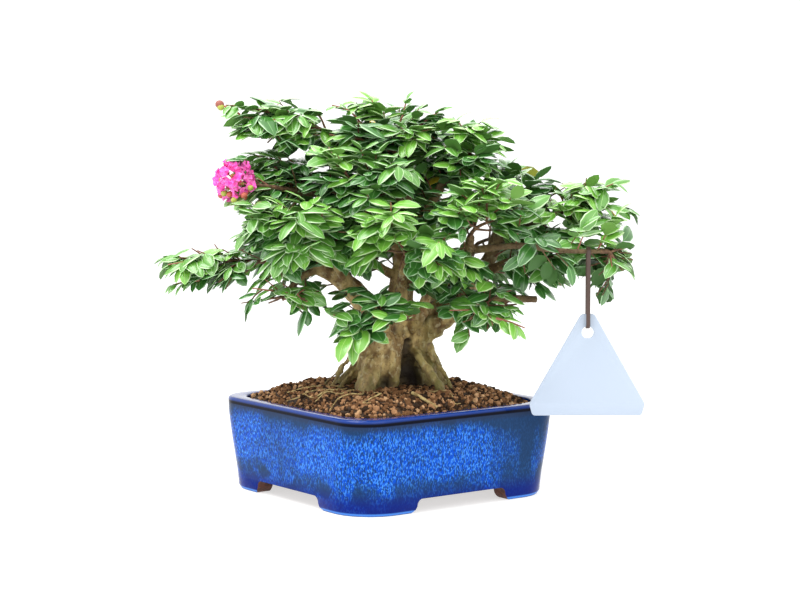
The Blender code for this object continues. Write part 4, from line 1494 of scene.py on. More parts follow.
MASSES = (
    Mass("leaves_left_low", "bough_left", (-100, -21, 133), (46, 26, 17), (-140, -20, 142), 9, 20, 0.86),
    Mass("leaves_left_front", "bough_left_front", (-58, -46, 156), (36, 34, 26), (-80, -58, 158), 8),
    Mass("leaves_left_mid", "bough_left_mid", (-66, 12, 187), (36, 32, 19), (-90, 8, 196), 8),
    Mass("leaves_left_top", "bough_left_top", (-62, 4, 216), (48, 26, 19), (-98, 0, 230), 9),
    Mass("blossom_left", "bough_blossom", (-86, -22, 183), (26, 22, 18), (-109, -26, 187), 4, 6),
    Mass("leaves_top", "bough_leader", (-4, 0, 214), (38, 34, 24), (9, 0, 237), 9),
    Mass("leaves_right_top", "bough_right_top", (50, -4, 204), (34, 32, 20), (70, -4, 212), 8),
    Mass("leaves_right_upper", "bough_right", (84, 12, 182), (28, 32, 22), (92, 14, 192), 7),
    Mass("leaves_right_far", "bough_right_far", (122, -4, 172), (30, 30, 19), (138, -6, 178), 8),
    Mass("leaves_right_mid", "bough_right_mid", (98, -4, 140), (30, 26, 20), (116, -8, 136), 7),
    Mass("leaves_tag_twig", "bough_tag", (127, -39, 141), (22, 28, 26), (145, -36, 130), 7, 12),
    Mass("leaves_front_right", "bough_front_right", (56, -54, 168), (32, 30, 22), (70, -64, 174), 8),
    Mass("leaves_right_low", "bough_right_low", (57, -38, 112), (28, 25, 18), (72, -48, 106), 7, 20, 0.84),
    Mass("leaves_front", "bough_front", (8, -66, 152), (36, 34, 25), (8, -84, 152), 9),
    Mass("leaves_front_top", "bough_front_top", (-18, -42, 188), (36, 30, 22), (-26, -56, 194), 8),
    Mass("leaves_front_low", "bough_front_low", (-4, -44, 108), (34, 22, 19), (-8, -58, 106), 7),
    Mass("leaves_left_hang", "bough_left_hang", (-58, -40, 117), (28, 24, 15), (-66, -52, 108), 6, 12, 0.8),
    Mass("leaves_inner_left", "bough_inner_left", (-26, -22, 151), (31, 27, 29), (-36, -28, 160), 7, 12),
    Mass("leaves_inner_right", "bough_inner_right", (32, -30, 146), (29, 27, 31), (40, -36, 164), 7, 12),
    Mass("leaves_back", "bough_back", (2, 64, 162), (36, 34, 25), (0, 84, 166), 9),
    Mass("leaves_back_left", "bough_back_left", (-66, 52, 154), (40, 36, 26), (-88, 60, 156), 9),
    Mass("leaves_back_right", "bough_back_right", (74, 52, 150), (38, 34, 26), (94, 60, 152), 9),
    Mass("leaves_back_top", "bough_back_top", (22, 48, 198), (36, 32, 21), (34, 62, 204), 8),
)


@dataclass(frozen=True)
class Window:
    """An oval place where the crown is open seen from the front, as far back as its depth."""

    right: float
    up: float
    half_right: float
    half_up: float
    depth: float = 400.0

    def hides(self, right: Array, up: Array, away: Array) -> bool:
        """Whether any of some places, as seen from the front, would close the window."""
        within = ((right - self.right) / self.half_right) ** 2 + ((up - self.up) / self.half_up) ** 2 < 1
        return bool((within & (away < self.depth)).any())


WINDOWS = (
    Window(56, 150, 6, 11),
    Window(39, 148, 3, 3),
    Window(-88, 185, 13, 11, -24),
    Window(4, 133, 4, 14, -4),
    Window(65, 143, 3, 10, -6),
    Window(-38, 130, 10, 4, -14),
    Window(-100, 205, 13, 6),
    Window(-78, 207, 12, 2.5),
    Window(-104, 183, 7, 14),
    Window(-104, 161, 16, 9),
    Window(-66, 108, 7, 7),
    Window(-40, 98, 5, 6),
    Window(152, 136, 4, 20),
    Window(22, 99, 10, 7, -8),
    Window(-41, 232, 8, 4),
    Window(62, 87, 14, 7),
    Window(7, 93, 7, 8, -8),
    Window(141, 124, 6, 7),
    Window(-100, 231, 4, 4),
)


@dataclass
class Surroundings:
    """What the foliage keeps clear of: trunk, limbs, neighbouring spaces and the tag's swing."""

    site: Site
    box: tuple[Sequence[float], Sequence[float]]
    crossing: float = 0.22
    outside: float = 2.5
    swing: Span = (math.radians(-9), math.radians(64))
    swing_slack: float = 4.4
    strap_eye: Span = (3.4, 7.2)
    strap_half: float = 5.4
    tag_half: float = 35.5
    tag_span: Span = (33.0, 98.0)
    front: Place = (-0.5, -1182.0, 215.0)

    def __post_init__(self) -> None:
        """Collects the limbs' segments and the spaces' sizes as arrays."""
        starts, ends, radii = [(4, 0, 60)], [(6, 3, 112)], [24.0]
        for limb in LIMBS:
            path = limb.fine()[::8]
            starts += list(path[:-1])
            ends += list(path[1:])
            radii += list(limb.radius_at(np.linspace(0, 1, len(path)))[:-1])
        self.starts = np.array(starts, dtype=float)
        self.runs = np.array(ends, dtype=float) - self.starts
        self.radii = np.array(radii)
        self.centres = np.array([mass.centre for mass in MASSES], dtype=float)
        self.halves = np.array([mass.half for mass in MASSES], dtype=float)
        self.order = {mass.name: number for number, mass in enumerate(MASSES)}
        self.low = np.array(self.box[0]) - self.outside * MM
        self.high = np.array(self.box[1]) + self.outside * MM

    def inside_box(self, points: Array) -> bool:
        """Whether all places are within the solids' box, or just outside it."""
        world = self.site.tree(points)
        return bool((world > self.low).all() and (world < self.high).all())

    def closes_window(self, points: Array) -> bool:
        """Whether places would close one of the crown's openings, seen from the front."""
        right, away, up = self.front
        scale = away / (away - points[:, 1])
        seen_right = right + (points[:, 0] - right) * scale
        seen_up = up + (points[:, 2] - up) * scale
        return any(window.hides(seen_right, seen_up, points[:, 1]) for window in WINDOWS)

    def depths(self, points: Array) -> Array:
        """Depth of places in every space: 0 in its middle and 1 at its edge."""
        return np.linalg.norm((points[None] - self.centres[:, None]) / self.halves[:, None], axis=2)

    def limb_distance(self, points: Array) -> Array:
        """Distance of places from the nearest limb's bark.

        Args:
            points: Tree places.

        Returns:
            One distance for each place.
        """
        away = points[:, None] - self.starts[None]
        share = np.clip((away * self.runs).sum(axis=2) / (self.runs ** 2).sum(axis=1), 0, 1)
        return (np.linalg.norm(away - share[:, :, None] * self.runs, axis=2) - self.radii).min(axis=1)

    def in_tag_swing(self, points: Array) -> Array:
        """Whether places are where the tag or its strap can swing.

        Args:
            points: Tree places.

        Returns:
            True or False for each place.
        """
        across = np.abs(points[:, 0] - TAG_RIGHT)
        forward, down = TAG_AWAY - points[:, 1], TAG_TWIG_UP - points[:, 2]
        distance, angle = np.hypot(forward, down), np.arctan2(forward, down)
        at_twig = (across < self.strap_eye[0]) & (distance < self.strap_eye[1])
        slack = self.swing_slack / np.maximum(distance, self.swing_slack)
        within = (angle > self.swing[0] - slack) & (angle < self.swing[1] + slack)
        beside = (distance > self.tag_span[0]) & (across < self.tag_half) | (across < self.strap_half)
        return at_twig | (within & (distance < self.tag_span[1]) & beside)

    def free(self, mass: Mass, points: Array, clearance: float, edge: float = 1.0) -> bool:
        """Whether all places are in a mass's own space and clear of everything else.

        Args:
            mass: The mass.
            points: Tree places.
            clearance: Least distance from the bark.
            edge: Greatest depth in the space.

        Returns:
            True if all are free.
        """
        depths = self.depths(points)
        own = depths[self.order[mass.name]]
        if (own > edge).any() or self.in_tag_swing(points).any() or not self.inside_box(points):
            return False
        if (depths.min(axis=0) < own - self.crossing).any():
            return False
        return bool((self.limb_distance(points) > clearance).all())


@dataclass(frozen=True)
class LeafShape:
    """An arched, folded leaf: a blade with a rib and pale margins carrying a painted highlight, over a closed
    underside.
    """

    stations: tuple[float, ...] = (0.08, 0.30, 0.58, 0.84)
    widths: tuple[float, ...] = (0.16, 0.86, 1.0, 0.64)
    columns: tuple[float, ...] = (1.0, 0.86, 0.5, 0.0, 0.0, -0.5, -0.86, -1.0)
    rib: float = 0.2
    lift: float = 0.3
    fold: float = 0.3

    def faces(self) -> tuple[list[list[int]], list[int]]:
        """Faces and material slots, the same for every leaf.

        Returns:
            Faces over the points that the method points gives, and the slots: blade, margin, rib
            and underside. The margin carries a painted highlight and the underside painted shade.
        """
        wide, rows = len(self.columns), len(self.stations)
        step = wide + 1
        end = 1 + step * (rows - 1)
        last = 1 + step * rows
        faces, slots = [], []
        for k in range(wide - 1):
            slot = {0: 1, wide // 2 - 1: 2, wide - 2: 1}.get(k, 0)
            faces += [[0, 1 + k, 2 + k], [end + k, end + k + 1, last]]
            slots += [2, slot]
            for row in range(rows - 1):
                base = 1 + step * row
                faces.append([base + k, base + k + 1, base + step + k + 1, base + step + k])
                slots.append(slot)
        for side, other in ((0, wide), (wide, wide - 1)):
            faces += [[0, 1 + other, 1 + side], [end + side, last, end + other]]
            slots += [3, 3]
            for row in range(rows - 1):
                base = 1 + step * row
                faces.append([base + side, base + step + side, base + step + other, base + other])
                slots.append(3)
        return faces, slots

    def points(self, length: float, width: float, arch: float, curl: float, twist: float) -> Array:
        """Points of one leaf with its stalk at the origin, its tip along X and its face along Z.

        Args:
            length: Length in millimetres.
            width: Greatest width.
            arch: How far the tip bends down, as a share of the length.
            curl: How far the edges roll down, as a share of the half width.
            twist: How far the tip turns sideways, as a share of the length.

        Returns:
            The points, in the order that faces uses.
        """
        rows = [np.zeros((1, 3))]
        middle = len(self.columns) // 2
        for share, wide in zip(self.stations, self.widths):
            half = width / 2 * wide
            y = np.array(self.columns) * half
            y[middle - 1], y[middle] = min(self.rib, half * 0.4), -min(self.rib, half * 0.4)
            height = self.fold * np.abs(y) - (curl + self.fold) * y * y / half
            height[middle - 1:middle + 1] = -0.05
            bend = length * (self.lift * share - (arch + self.lift) * share * share)
            sway = twist * length * share * share
            row = np.column_stack((np.full(len(y), share * length), y + sway, height + bend))
            rows += [row, np.array(((share * length, sway, bend - 0.3),))]
        rows.append(np.array(((length, twist * length, -arch * length),)))
        return np.vstack(rows)

    def marks(self, points: Array) -> Array:
        """A few of a leaf's points that stand for it when room is tested.

        Args:
            points: The leaf's points.

        Returns:
            One place on the rib in the middle, two on each edge, and the tip.
        """
        step = len(self.columns) + 1
        middle, outer = 1 + step * 2, 1 + step * 3
        return points[[middle + 3, middle, middle + step - 2, outer, outer + step - 2, len(points) - 1]]


@dataclass(frozen=True)
class LeafHabit:
    """How leaves sit on a shoot, and the ranges in which they differ."""

    shape: LeafShape = LeafShape()
    spacing: float = 4.6
    room: float = 3.0
    clearance: float = 0.8
    ends: Span = (2.5, 1.5)
    length: Span = (12.0, 19.5)
    ratio: float = 0.53
    width: Span = (0.88, 1.15)
    arch: Span = (0.08, 0.5)
    curl: Span = (0.05, 0.5)
    twist: Span = (-0.12, 0.12)
    ahead: Span = (0.5, 1.2)
    aside: Span = (0.6, 1.0)
    climb: Span = (-0.6, 0.35)
    outward: Span = (0.0, 0.9)
    roll: Span = (-0.45, 0.45)
    tip_size: float = 0.8
    tip_tries: int = 8
    pair_tries: int = 4

    def leaf(self, length: float, rng: random.Random) -> Array:
        """Points of one leaf of this length, with its own width and bends."""
        width = length * self.ratio * rng.uniform(*self.width)
        bends = [rng.uniform(*span) for span in (self.arch, self.curl, self.twist)]
        return self.shape.points(length, width, *bends)


@dataclass(frozen=True)
class Sprout:
    """A longer leafy shoot that stands out of a mass."""

    mass: str
    points: tuple[Place, ...]
    thick: float = 0.8
    tint: Tint = Tint.MID
    young: bool = False
    leaf_size: float = 0.85


SPROUTS = (
    Sprout("leaves_left_top", ((-70, 1, 226), (-84, 0, 229), (-96, -1, 230)), 1.0, leaf_size=0.7),
    Sprout("leaves_left_top", ((-56, -4, 210), (-74, -4, 215), (-86, -4, 216)), 0.9),
    Sprout("leaves_left_mid", ((-60, -4, 196), (-70, -4, 198), (-80, -4, 201)), 0.9),
    Sprout("leaves_top", ((3, -3, 215), (8, -3, 222), (11, -3, 233)), young=True, leaf_size=0.55),
    Sprout("leaves_top", ((-12, -3, 214), (-22, -3, 226), (-33, -3, 230)), young=True, leaf_size=0.55),
    Sprout("leaves_top", ((14, 0, 214), (24, 0, 222), (30, 0, 226)), young=True, leaf_size=0.6),
    Sprout("leaves_left_low", ((-110, -24, 128), (-118, -24, 127), (-126, -24, 125)),
           young=True, leaf_size=0.6),
    Sprout("leaves_left_low", ((-112, -22, 136), (-122, -21, 139), (-131, -20, 141)), leaf_size=0.7),
    Sprout("leaves_left_hang", ((-72, -42, 124), (-77, -43, 120), (-79, -43, 116)),
           0.6, Tint.DARK, leaf_size=0.9),
    Sprout("leaves_right_low", ((62, -52, 108), (70, -56, 106), (78, -58, 103)), 0.8, Tint.BRIGHT, True),
    Sprout("leaves_front_low", ((-12, -50, 104), (-18, -54, 101), (-23, -55, 98)),
           0.8, Tint.BRIGHT, True, 1.0),
    Sprout("leaves_right_far", ((122, -8, 170), (134, -10, 170), (143, -12, 168)),
           young=True, leaf_size=0.8),
)


@dataclass(frozen=True)
class Plot:
    """A mass's space, its own random numbers, and the greatest depth of a leaf in it."""

    mass: Mass
    rng: random.Random
    edge: float


Run = tuple[Array, Array]


def across_stem(ahead: Array, turn: float, flat: float) -> Array:
    """Direction across a stem, turned round it, with its upright part pressed flat."""
    side = unit(np.cross(UP, ahead))
    return side * math.cos(turn) + np.cross(ahead, side) * (flat * math.sin(turn))


@dataclass
class Foliage:
    """Twigs and leaves of every mass, grown by the seeded golden-angle rule, one level finer."""

    site: Site
    surroundings: Surroundings
    habit: LeafHabit = LeafHabit()
    stem_radius: float = 1.5
    twig_radii: Place = (0.8, 0.65, 0.5)
    shoot_radii: Span = (0.5, 0.32)
    twig_reach: float = 0.68
    shoot_reach: float = 0.98
    bough_reach: float = 1.7
    sprout_reach: float = 4.0
    twig_longest: int = 60
    shoot_longest: tuple[int, int] = (9, 24)
    bough_longest: tuple[int, int] = (9, 20)
    twig_flat: float = -0.6
    shoot_flat: float = -0.4
    shoot_spacing: float = 4.6
    bough_spacing: float = 3.6
    crown_middle: Place = (4, 0, 128)
    bare_limbs: tuple[str, ...] = ("bough_cut_stub",)
    fresh_masses: tuple[str, ...] = ("leaves_front", "leaves_front_right", "leaves_right_far")
    fresh: float = 0.5
    yellow_share: float = 0.003

    def __post_init__(self) -> None:
        """Starts the shoals that twigs and leaves go into."""
        self.leaves = {tint: Shoal() for tint in Tint}
        self.brown = Shoal()
        self.red = Shoal()
        self.face_table = self.habit.shape.faces()
        self.seats = np.empty((0, 3))

    def stem_path(self, mass: Mass) -> Array:
        """The stem's places, bending from the limb's heading to the mass's reach.

        Args:
            mass: The mass.

        Returns:
            Six places.
        """
        limb = next(limb for limb in LIMBS if limb.name == mass.limb)
        tip, heading = limb.tip()
        start = tip + heading * GAP
        reach = np.array(mass.reach, dtype=float)
        length = max(float(np.linalg.norm(reach - start)) - 26 * 0.9, 8.0)
        reach = start + unit(reach - start) * length
        bend = start + heading * length * 0.4
        start = start + heading
        curve = [start * (1 - t) ** 2 + bend * 2 * t * (1 - t) + reach * t * t for t in np.arange(5) / 4]
        return np.array([tip - heading * 2] + curve)

    def reach_of(self, mass: Mass, start: Array, direction: Array, edge: float,
                 longest: int) -> Array | None:
        """Furthest place along a direction that keeps a twig clear and inside its space.

        Args:
            mass: The mass.
            start: Where the twig begins.
            direction: Where it heads.
            edge: Greatest depth of its end.
            longest: Greatest length.

        Returns:
            The end, or None where no twig fits.
        """
        reached = None
        for step in range(4, longest):
            point = start + direction * step
            if not self.surroundings.free(mass, point[None], 1.3, edge):
                break
            reached = point
        return reached

    def side_twigs(self, plot: Plot, stem: Array) -> list[Run]:
        """Twigs that leave the stem turned by the golden angle, spread wide and flat.

        Args:
            plot: Where they grow.
            stem: The stem's places.

        Returns:
            Root and end of each twig.
        """
        twigs = []
        for number in range(plot.mass.twigs):
            along = 1 + (number + 0.4) / plot.mass.twigs * 4
            step = int(along)
            root = stem[step] + (stem[step + 1] - stem[step]) * (along - step)
            ahead = unit(stem[step + 1] - stem[step])
            across = across_stem(ahead, GOLDEN_ANGLE * number + plot.rng.uniform(-0.3, 0.3), self.twig_flat)
            direction = unit(across + ahead * plot.rng.uniform(0.2, 0.6))
            end = self.reach_of(plot.mass, root, direction, self.twig_reach, self.twig_longest)
            if end is not None:
                twigs.append((root, end))
        return twigs

    def shoots(self, plot: Plot, root: Array, end: Array) -> list[Run]:
        """The finer shoots of one twig, by the same rule.

        Args:
            plot: Where they grow.
            root: Where the twig starts.
            end: Where it ends.

        Returns:
            Root and end of each shoot.
        """
        rng = plot.rng
        ahead = unit(end - root)
        length = float(np.linalg.norm(end - root))
        found = []
        turn = rng.uniform(0, math.tau)
        distance = 2.5
        while distance <= length + 0.1:
            turn += GOLDEN_ANGLE
            start = root + ahead * distance
            across = across_stem(ahead, turn, self.shoot_flat)
            direction = unit(across + ahead * rng.uniform(0.5, 1.3) + UP * rng.uniform(-0.08, 0.2))
            longest = rng.randint(*self.shoot_longest)
            reached = self.reach_of(plot.mass, start, direction, self.shoot_reach, longest)
            if reached is not None:
                found.append((start, reached))
            distance += self.shoot_spacing
        return found

    def tint_for(self, plot: Plot, place: Array) -> Tint:
        """The green of one spray, by how far out and up it sits. The bright green of young leaves goes to
        outer sprays; sprays above the mass's middle get it more often and sprays below get the dark green
        more often, as painted light and shade.

        Args:
            plot: Where it grows.
            place: Where the spray ends.

        Returns:
            The tint.
        """
        mass = plot.mass
        depth = float(self.surroundings.depths(place[None])[self.surroundings.order[mass.name], 0])
        lift = (place[2] - mass.centre[2]) / mass.half[2]
        chance = plot.rng.random()
        fresh = self.fresh if mass.name in self.fresh_masses and lift > -0.3 else 0.0
        # Partly painted light: higher sprays in a mass are bright more often.
        if depth > 0.45 and chance < 0.14 + fresh + 0.16 * max(lift, 0):
            return Tint.BRIGHT
        # Painted shade: sprays below a mass's middle are dark more often.
        if chance > 0.7 - 0.22 * (lift < 0) + 0.5 * fresh:
            return Tint.DARK
        return Tint.MID

    def fits(self, plot: Plot, points: Array) -> bool:
        """Whether a leaf is clear of other leaves, wood, windows, other masses and the swinging tag.

        Args:
            plot: Where it grows.
            points: Its points.

        Returns:
            True if it fits.
        """
        marks = self.habit.shape.marks(points)
        if (np.sum((self.seats - marks[0]) ** 2, axis=1) < self.habit.room ** 2).any():
            return False
        if self.surroundings.closes_window(points) or self.surroundings.in_tag_swing(points).any():
            return False
        return self.surroundings.free(plot.mass, marks, self.habit.clearance, plot.edge)

    def leaf_out(self, plot: Plot, root: Array, end: Array, tint: Tint,
                 tip_only: bool = False, size: float = 1.0) -> int:
        """Puts leaves in opposite pairs along one run and one at its tip, where they fit.

        Args:
            plot: Where they grow.
            root: Where the run starts.
            end: Where it ends.
            tint: The spray's green.
            tip_only: Whether only the outer half bears leaves.
            size: Size of the leaves, as a share of the usual one.

        Returns:
            How many leaves were put on it.
        """
        habit, rng = self.habit, plot.rng
        direction = unit(end - root)
        side = unit(np.cross(UP, direction))
        outward = unit(end - np.array(self.crown_middle))
        run = float(np.linalg.norm(end - root))
        seats = [(end, 0)]
        distance = run - habit.ends[0]
        while distance > (run * 0.5 if tip_only else habit.ends[1]):
            seats += [(root + direction * distance, sign) for sign in (-1, 1)]
            distance -= habit.spacing
        grown = 0
        for seat, sign in seats:
            for _ in range(habit.pair_tries if sign else habit.tip_tries):
                lean = (direction * rng.uniform(*habit.ahead) + side * sign * rng.uniform(*habit.aside)
                        + UP * rng.uniform(*habit.climb))
                upward = (UP + outward * rng.uniform(*habit.outward)
                          + np.array([rng.uniform(*habit.roll) for _ in range(3)]))
                if abs(np.dot(unit(lean), unit(upward))) > 0.9:
                    continue
                length = rng.uniform(*habit.length) * size * (1.0 if sign else habit.tip_size)
                points = seat + habit.leaf(length, rng) @ frame_along(lean, upward)
                if not self.fits(plot, points):
                    continue
                self.seats = np.vstack((self.seats, habit.shape.marks(points)[0]))
                own = Tint.YELLOW if rng.random() < self.yellow_share else tint
                self.leaves[own].add(points, *self.face_table)
                grown += 1
                break
        return grown

    def grow(self, mass: Mass) -> None:
        """Grows one mass: stem, side twigs, shoots and leaves.

        Args:
            mass: The mass.
        """
        rng = random.Random(mass.name)
        plot = Plot(mass, rng, mass.leaf_edge)
        stem = self.stem_path(mass)
        twigs = self.side_twigs(plot, stem)
        self.brown.tube(stem, np.linspace(self.stem_radius, self.twig_radii[0], len(stem)), 7)
        for number, (root, end) in enumerate([(stem[1], stem[-1])] + twigs):
            tint = self.tint_for(plot, end)
            grown = self.leaf_out(plot, root, end, tint, tip_only=True)
            for start, tip in self.shoots(plot, root, end):
                grown += self.spray(plot, start, tip, tint)
            if number and grown:
                bend = (root + end) / 2 + np.array([rng.uniform(-1, 1) for _ in range(3)]) * 0.6
                self.brown.tube(np.array((root, bend, end)), self.twig_radii, 5)

    def spray(self, plot: Plot, start: Array, tip: Array, tint: Tint) -> int:
        """One leafy shoot, green or red where it is young.

        Args:
            plot: Where it grows.
            start: Where the shoot leaves its twig.
            tip: Where it ends.
            tint: The green of the twig it grows on.

        Returns:
            How many leaves it bears.
        """
        if self.surroundings.closes_window(np.linspace(start, tip, 5)):
            return 0
        own = self.tint_for(plot, tip) if plot.rng.random() < 0.6 else tint
        young = own in (Tint.BRIGHT, Tint.MID) and plot.rng.random() < 0.7
        grown = self.leaf_out(plot, start, tip, own)
        if grown:
            wood = self.red if young else self.brown
            wood.tube(np.array((start, tip)), self.shoot_radii, 4)
        return grown

    def sprout(self, sprout: Sprout) -> None:
        """A longer leafy shoot that stands out of its mass.

        Args:
            sprout: The shoot.
        """
        mass = next(mass for mass in MASSES if mass.name == sprout.mass)
        plot = Plot(mass, random.Random(repr(sprout)), self.sprout_reach)
        path = smooth_path(sprout.points, 7)
        wood = self.red if sprout.young else self.brown
        wood.tube(path, np.linspace(sprout.thick, 0.4, len(path)), 5)
        for step in (4, 2, 0):
            self.leaf_out(plot, path[step], path[step + 2], sprout.tint, size=sprout.leaf_size)

    def clothe(self, limb: Limb) -> None:
        """Leafy shoots on a limb itself, past its collar, by the same rule.

        Args:
            limb: The limb.
        """
        rng = random.Random(limb.name)
        path = limb.fine()
        length = float(np.linalg.norm(np.diff(path, axis=0), axis=1).sum())
        distance = max(limb.collar + 3, length * 0.35)
        turn = rng.uniform(0, math.tau)
        while distance < length - 1:
            share = distance / length
            number = min(int(share * LIMB_STEPS), LIMB_STEPS - 2)
            ahead = unit(path[number + 1] - path[number])
            turn += GOLDEN_ANGLE
            direction = unit(across_stem(ahead, turn, 1.0) + ahead * rng.uniform(0.2, 0.9)
                             + UP * rng.uniform(0, 0.4))
            radius = float(limb.radius_at(np.array(share)))
            clear = path[number] + direction * (radius + 3.0)
            mass = MASSES[int(np.argmin(self.surroundings.depths(clear[None])[:, 0]))]
            longest = rng.randint(*self.bough_longest)
            reached = self.reach_of(mass, clear, direction, self.bough_reach, longest)
            if reached is not None:
                # Painted shade: shoots on the limbs, inside the crown, take the dark green more often.
                tint = Tint.DARK if rng.random() < 0.55 else Tint.MID
                self.spray(Plot(mass, rng, self.bough_reach), path[number] + direction * (radius - 0.4),
                           reached, tint)
            distance += self.bough_spacing

    def build(self) -> list[Thing]:
        """Grows every mass and makes one piece of each kind.

        Returns:
            The pieces.
        """
        for mass in MASSES:
            self.grow(mass)
        for limb in LIMBS:
            if limb.name not in self.bare_limbs:
                self.clothe(limb)
        for sprout in SPROUTS:
            self.sprout(sprout)
        names = [mass.name for mass in MASSES if mass.name.startswith("leaves")]
        pieces = []
        for tint, shoal in self.leaves.items():
            if shoal.count:
                pieces.append(dress(shoal.build(f"leaves_{tint.value[0]}", self.site, tint.finishes()),
                                    "plant", "foliage", *names))
        brown = SpottedFinish("brown_twig", srgb(124, 92, 66), srgb(92, 66, 46), Mottle(2), 0.75, 0.1)
        red = PlainFinish("young_red_stem", srgb(150, 92, 76), 0.5)
        pieces.append(dress(self.brown.build("brown_twigs", self.site, [brown]), "plant", "bark", *names))
        pieces.append(dress(self.red.build("young_red_stems", self.site, [red]), "plant", "foliage", *names))
        LOG.info("leaves: %d", len(self.seats))
        return pieces


# ---- blossom


@dataclass
class Blossom:
    """Cluster of crinkled petals, red calyces and green buds at one twig's end."""

    site: Site
    middle: Place = (-89, -24, 186)
    spread: Place = (10, 8, 9.5)
    flowers: int = 8
    petals: int = 6
    petal_size: float = 5.2
    petal_sides: int = 10
    stamens: int = 5
    small_buds: int = 7
    crown_bud: Place = (-97.5, -1, 229.5)

    def petal(self, place: Array, outward: Array, facing: Array,
              rng: random.Random) -> tuple[Array, list[list[int]]]:
        """One petal: a narrow claw and a ruffled round blade, closed underneath.

        Args:
            place: The flower's middle.
            outward: Where the petal points.
            facing: Where the flower faces.
            rng: Random numbers.

        Returns:
            Its points and faces.
        """
        count = self.petal_sides
        angles = np.arange(count) * math.tau / count
        size = self.petal_size * rng.uniform(0.8, 1.15)
        middle = size * 0.55 + size * 0.5
        phase = rng.uniform(0, math.tau)
        rings = [np.array(((middle, 0, 0.25),))]
        for share, depth in ((0.55, 0.5), (1.0, 1.1)):
            ruffle = depth * np.sin(angles * 4 + phase) * size * 0.22 * rng.uniform(0.7, 1.2)
            radius = size * 0.55 * share * (1 + 0.1 * np.sin(angles * 5 + phase * 2))
            along, across = middle + radius * np.cos(angles), radius * 1.1 * np.sin(angles)
            rings.append(np.column_stack((along, across, ruffle)))
        rings.append(np.array(((middle, 0, -0.35),)))
        rings.append(np.array(((0, 0.3, 0), (0, -0.3, 0), (0, 0, 0.3))))
        faces = []
        for k in range(count):
            j = (k + 1) % count
            faces.append([0, 1 + k, 1 + j])
            faces.append([1 + k, 1 + count + k, 1 + count + j, 1 + j])
            faces.append([1 + 2 * count, 1 + count + j, 1 + count + k])
        base = 2 + 2 * count
        near = 1 + count + count // 2
        faces += [[base, base + 1, near], [base + 1, base + 2, near], [base + 2, base, near],
                  [base, base + 2, base + 1]]
        return place + np.vstack(rings) @ frame_along(outward, facing), faces

    def ball(self, shoal: Shoal, place: Array, radius: float, stretch: float, axis: Array,
             slot: int = 0) -> None:
        """Adds a small bud or calyx.

        Args:
            shoal: Where it goes.
            place: Its middle.
            radius: Its radius.
            stretch: Its length along its axis, as a share of its width.
            axis: Where it points.
            slot: Its finish.
        """
        sides, levels = 8, 5
        rows = []
        for level in range(levels + 1):
            angle = math.pi * level / levels
            ring = max(math.sin(angle), 0.02) * radius
            turn = np.arange(sides) * math.tau / sides
            rows.append(np.column_stack((np.full(sides, -math.cos(angle) * radius * stretch),
                                         ring * np.cos(turn), ring * np.sin(turn))))
        faces = tube_faces(levels + 1, sides)
        points = place + np.vstack(rows) @ frame_along(axis, upright(axis, 0.9))
        shoal.add(points, faces, [slot] * len(faces))

    def build(self) -> list[Thing]:
        """Builds petals, calyces, buds and their stalks.

        Returns:
            The pieces.
        """
        rng = random.Random("blossom")
        petals, red, green = Shoal(), Shoal(), Shoal()
        middle = np.array(self.middle, dtype=float)
        base = middle + (12, 2, -4)
        for number in range(self.flowers):
            turn = GOLDEN_ANGLE * number
            lift = 1 - 2 * (number + 0.5) / self.flowers
            ring = math.sqrt(1 - lift * lift)
            facing = unit(np.array((math.cos(turn) * ring - 0.25, math.sin(turn) * ring - 0.35, lift + 0.2)))
            heart = middle + facing * np.array(self.spread) * 0.75
            red.tube(np.array((base, middle, heart)), (0.5, 0.45, 0.4), 5)
            self.ball(red, heart - facing * 0.8, 1.7, 0.9, facing)
            across = unit(np.cross(facing, (0.3, 0.2, 1.0)))
            other = np.cross(facing, across)
            for k in range(self.petals):
                angle = math.tau * k / self.petals + rng.uniform(-0.25, 0.25)
                outward = across * math.cos(angle) + other * math.sin(angle) + facing * rng.uniform(0.1, 0.7)
                petals.add(*self.petal(heart, outward, facing, rng))
            for k in range(self.stamens):
                angle = math.tau * k / self.stamens
                tip = heart + facing * 2.2 + (across * math.cos(angle) + other * math.sin(angle)) * 0.9
                green.tube(np.array((heart, tip)), (0.18, 0.22), 4)
        for number in range(self.small_buds):
            place = middle + np.array((rng.uniform(-11, 12), rng.uniform(-11, 6), rng.uniform(-11, -4)))
            axis = unit(place - base)
            red.tube(np.array((base, (base + place) / 2 + (0, 0, 1), place)), (0.45, 0.4, 0.4), 5)
            self.ball(green if number % 3 == 0 else red, place, rng.uniform(1.6, 2.2), 1.1, axis)
        bud = np.array(self.crown_bud)
        red.tube(np.array((bud + (10, 0, -5), bud + (4, 0, -1), bud)), (0.7, 0.6, 0.6), 6)
        self.ball(red, bud + (-2, 0, 0.9), 2.6, 1.05, np.array((-1.0, 0, 0.3)), 1)
        self.ball(green, bud + (-1.4, -0.6, -0.6), 2.2, 1.0, np.array((-1.0, 0, 0.2)))
        pink = SpottedFinish("pink_petal", srgb(250, 76, 186), srgb(255, 140, 216),
                             Mottle(2.4, 0.52, 0.16), 0.6, 0.1)
        calyx = PlainFinish("red_calyx", srgb(190, 96, 78), 0.5)
        bud_red = PlainFinish("red_bud", srgb(150, 84, 70), 0.5)
        bud_green = PlainFinish("green_bud", srgb(170, 178, 74), 0.45)
        kinds = (("pink_petals", petals, [pink], 60), ("red_calyces", red, [calyx, bud_red], 50),
                 ("green_buds", green, [bud_green], 50))
        return [dress(shoal.build(name, self.site, finishes, smooth), "plant", "blossom", "blossom_left")
                for name, shoal, finishes, smooth in kinds]


# ---- litter on the soil


